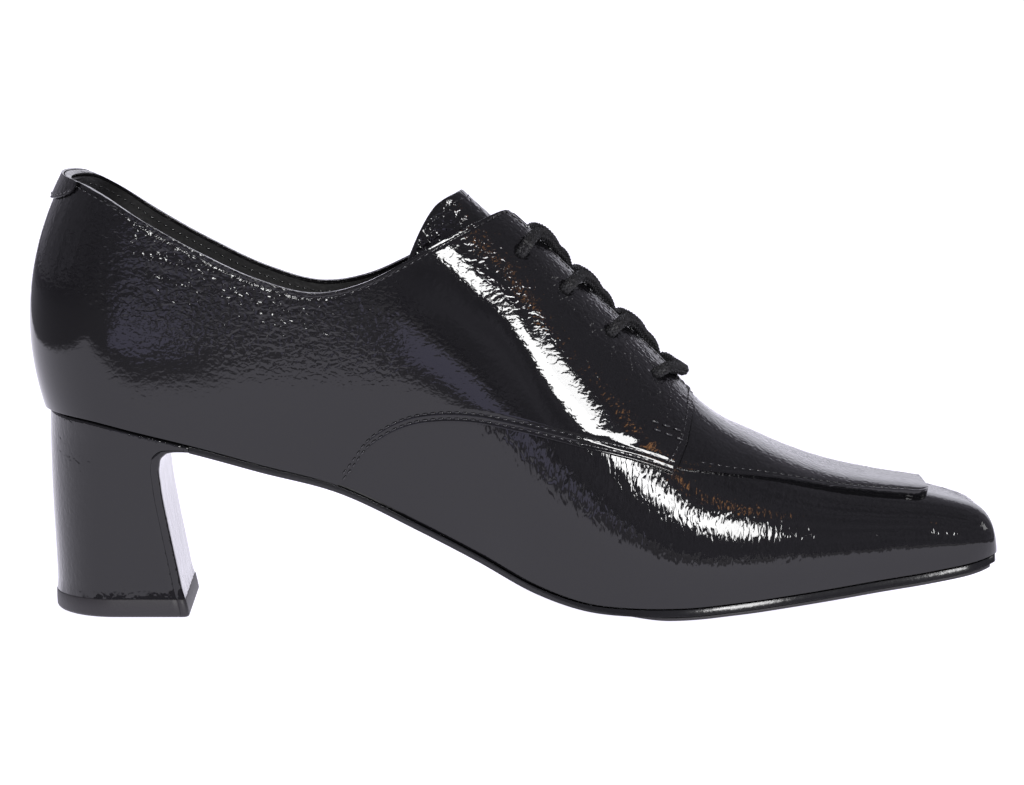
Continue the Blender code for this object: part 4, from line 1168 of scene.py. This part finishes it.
def stitch_row(shape, points, normals, size=1.0):
    """Sets stitches along a line; normals point out of the leather, and size makes them bolder."""
    steps = np.concatenate([[0.0], np.cumsum(np.linalg.norm(np.diff(points, axis=0), axis=1))])
    pitch = STITCH_PITCH * size
    places = np.arange(pitch / 2, steps[-1], pitch)
    for place in places:
        at = read_line(place, steps, points)
        ahead = read_line(place + STITCH_LOOK, steps, points)
        behind = read_line(place - STITCH_LOOK, steps, points)
        normal = Vector(read_line(place, steps, normals)).normalized()
        run = Vector(ahead - behind).normalized()
        side = normal.cross(run).normalized()
        length, width = STITCH_LENGTH * size / 2 * MM, STITCH_WIDTH * size / 2 * MM
        turn = Matrix((run, side, run.cross(side))).transposed().to_4x4()
        stretch = Matrix.Diagonal((length, width, width, 1.0))
        matrix = Matrix.Translation(Vector(to_frame(at))) @ turn @ stretch
        bmesh.ops.create_uvsphere(shape, u_segments=6, v_segments=4, radius=1.0, matrix=matrix)
    return len(places)


def stitch_line(shape, along, angle, side, lift, size=1.0):
    points = face_point(along, angle, side, lift)
    return stitch_row(shape, points, face_normal(along, angle, side), size)


def finish_stitches(name, shape, count):
    finish_piece(name, shape, thread, sharp=False)
    print(count, "stitches")


print("one stitch is", STITCH_LENGTH, "mm long")

# %% Seams of the quarters
FRONT_ROWS = slice(4, -2)
shape = bmesh.new()
count = 0
for side in (INNER, OUTER):
    along, angle = quarter_grids[side]
    edge = inside_edge(along[:, -1], angle[:, -1], side, COLLAR_STITCH)
    count += stitch_line(shape, along[:, -1], edge, side, QUARTER_LIFT)
    seam = along[:, 0] > SEAM_BACK
    for inset in SEAM_STITCHES:
        row = inside_edge(along[seam, 0], angle[seam, 0], side, -inset)
        count += stitch_line(shape, along[seam, 0], row, side, QUARTER_LIFT)
    front = along[-1, FRONT_ROWS] - FRONT_STITCH
    count += stitch_line(shape, front, angle[-1, FRONT_ROWS], side, QUARTER_LIFT)
finish_stitches("quarter_stitches", shape, count)

# %% Bar tacks and stitches of the apron
BAR_TACKS = (((158.0, 51.0), (166.0, 47.7)), ((158.6, 49.1), (166.4, 45.7)))
TACK_LIFT, TACK_SIZE, APRON_STITCH_START = 0.2, 1.5, 171.0
shape = bmesh.new()
count = 0
for start, end in BAR_TACKS:
    line_along = np.linspace(start[0], end[0], 12)
    line_angle = angle_at_height(line_along, np.linspace(start[1], end[1], 12))
    for side in (INNER, OUTER):
        count += stitch_line(shape, line_along, line_angle, side, QUARTER_LIFT + TACK_LIFT, TACK_SIZE)
for side in (INNER, OUTER):
    line_along = np.linspace(APRON_STITCH_START, APRON_FRONT - APRON_CORNER, 40)
    offset = apron_half_width(line_along, side) - APRON_STITCH
    line_angle = angle_at_offset(line_along, offset, side)
    count += stitch_line(shape, line_along, line_angle, side, apron_lift(line_along) - GROOVE_DEPTH)
finish_stitches("vamp_stitches", shape, count)

# %% Stitches on the tongue, the heel tab and the lining
TONGUE_STITCH, TONGUE_SIDE, TAB_STITCH = 0.965, 0.93, 0.86
LINING_STITCH, LINING_ROW_START, LINING_ROW_END = 1.8, 6.0, 111.0
shape = bmesh.new()
count = 0
for side in (INNER, OUTER):
    along, angle, depth = tongue_spots(side, np.linspace(0.0, TONGUE_SIDE, 40), TONGUE_STITCH)
    count += stitch_line(shape, along, angle, side, -depth)
    along = np.linspace(LINING_ROW_START, LINING_ROW_END, 120)
    angle = inside_edge(along, wall_top(along, side), side, LINING_EDGE + LINING_STITCH)
    inner_face = face_point(along, angle, side, LINING_LIFTS[1])
    count += stitch_row(shape, inner_face, -face_normal(along, angle, side))
spots = tab_spots(TAB_STITCH)[1:-1]
points = np.array([face_point(*spot, TAB_LIFT + TAB_THICK) for spot in spots])
normals = np.array([face_normal(*spot) for spot in spots])
count += stitch_row(shape, points, normals)
finish_stitches("collar_stitches", shape, count)

# %% [markdown]
# ## Studio
#
# The shoe stands on a pale floor. Black patent is a mirror and shows its surroundings, so each light is
# placed by what the leather mirrors. The floor glows from just in front of the shoe to far behind it,
# which greys the lower walls and gives a white ground. A small box beside the camera draws the white
# streak down the facing, a larger one lights the vamp, and the room stays dim and uneven.

# %% Floor
FLOOR_HALF, FLOOR_DROP = 6.0, 0.0004
FLOOR_PALE, GLOW_TINT = (0.4, 0.39, 0.41), (0.9, 0.88, 1.0, 1.0)
GLOW, GLOW_FRONT, GLOW_SIDE, GLOW_FADE = 1.14, -0.225, 0.41, 0.05
floor_sheet, nodes, links, shader = new_material("floor_sheet", FLOOR_PALE, 0.9, 0.1)
shader.inputs["Emission Color"].default_value = GLOW_TINT
glow = add_fade(nodes, links, (0.0, 1.0, 0.0), GLOW_FRONT - GLOW_FADE, GLOW_FRONT, 0.0, GLOW)
for outward in ((1.0, 0.0, 0.0), (-1.0, 0.0, 0.0)):
    glow = add_fade(nodes, links, outward, GLOW_SIDE, GLOW_SIDE + GLOW_FADE, 1.0, 0.0, glow)
links.new(glow, shader.inputs["Emission Strength"])

shape = bmesh.new()
lowered = Matrix.Translation((0.0, 0.0, -FLOOR_DROP))
bmesh.ops.create_grid(shape, x_segments=1, y_segments=1, size=FLOOR_HALF, matrix=lowered)
floor_data = bpy.data.meshes.new("floor")
shape.to_mesh(floor_data)
shape.free()
floor_data.materials.append(floor_sheet)
floor = bpy.data.objects.new("floor", floor_data)
bpy.context.scene.collection.objects.link(floor)
print("stage: a floor that glows behind its front edge")

# %% Lights
SHOE_MIDDLE = Vector((0.0, 0.0, 0.055))
WHITE, PALE_BLUE, COOL_BLUE = (1.0, 1.0, 1.0), (0.92, 0.92, 1.0), (0.9, 0.91, 1.0)
AMBER, NAVY = (1.0, 0.45, 0.14), (0.65, 0.63, 1.0)


def add_lamp(name, size, power, colour):
    data = bpy.data.lights.new(name, "AREA")
    data.shape = "RECTANGLE"
    data.size, data.size_y = size
    data.energy = power
    data.color = colour
    lamp = bpy.data.objects.new(name, data)
    bpy.context.scene.collection.objects.link(lamp)
    return lamp


def soft_box(name, azimuth, elevation, distance, size, tilt, radiance, colour=WHITE):
    """A box seen from the shoe at an azimuth from the camera's side and an elevation, in degrees, and
    tilted in its own plane; its power follows from its brightness."""
    lamp = add_lamp(name, size, radiance * math.pi * size[0] * size[1], colour)
    turn, rise = math.radians(azimuth), math.radians(elevation)
    line = Vector((math.sin(turn) * math.cos(rise), -math.cos(turn) * math.cos(rise), math.sin(rise)))
    lamp.location = SHOE_MIDDLE + line * distance
    lamp.rotation_euler = (-line).to_track_quat("-Z", "Y").to_euler()
    lamp.rotation_euler.rotate_axis("Z", math.radians(tilt))


soft_box("key_box", 8.0, 19.5, 1.6, (0.22, 0.24), 36.0, 30.0)
soft_box("side_box", 20.0, 19.0, 1.6, (0.44, 0.34), 18.0, 26.0)
soft_box("edge_box", 95.0, 22.0, 1.8, (0.5, 0.4), 0.0, 3.0)
soft_box("back_panel", 165.0, 13.0, 2.2, (1.6, 0.9), 0.0, 0.8, PALE_BLUE)
soft_box("top_box", 180.0, 84.0, 1.6, (0.5, 0.5), 0.0, 2.0)
soft_box("warm_lamp", 28.0, 35.0, 1.6, (0.26, 0.05), 24.0, 5.0, AMBER)
soft_box("back_box", 205.0, 32.0, 1.8, (1.2, 0.2), -20.0, 6.0, COOL_BLUE)

FLOOR_LAMP_SIZE, FLOOR_LAMP_POWER, FLOOR_LAMP_PLACE = (0.2, 0.48), 0.3, (-0.2, -0.56, 0.004)
floor_lamp = add_lamp("floor_lamp", FLOOR_LAMP_SIZE, FLOOR_LAMP_POWER, NAVY)
floor_lamp.location = FLOOR_LAMP_PLACE
floor_lamp.rotation_euler = (math.pi, 0.0, 0.0)
floor_lamp.visible_camera = False
print("lights: seven soft boxes and a floor lamp")

# %% Room
ROOM_TINT, ROOM_PATCHES = (0.88, 0.85, 1.0, 1.0), 9.0
PATCH_RANGE, ROOM_LIGHT = (0.3, 0.7), (0.18, 0.42)

world = bpy.data.worlds.new("studio")
world.use_nodes = True
nodes, links = world.node_tree.nodes, world.node_tree.links
nodes["Background"].inputs["Color"].default_value = ROOM_TINT
place = nodes.new("ShaderNodeTexCoord")
unevenness = nodes.new("ShaderNodeTexNoise")
unevenness.inputs["Scale"].default_value = ROOM_PATCHES
links.new(place.outputs["Generated"], unevenness.inputs["Vector"])
dim = add_range(nodes, links, unevenness.outputs["Fac"], *PATCH_RANGE, *ROOM_LIGHT, kind="LINEAR")
links.new(dim, nodes["Background"].inputs["Strength"])
bpy.context.scene.world = world
bpy.context.scene.view_settings.view_transform = "Standard"
print("room: dim, between", *ROOM_LIGHT)
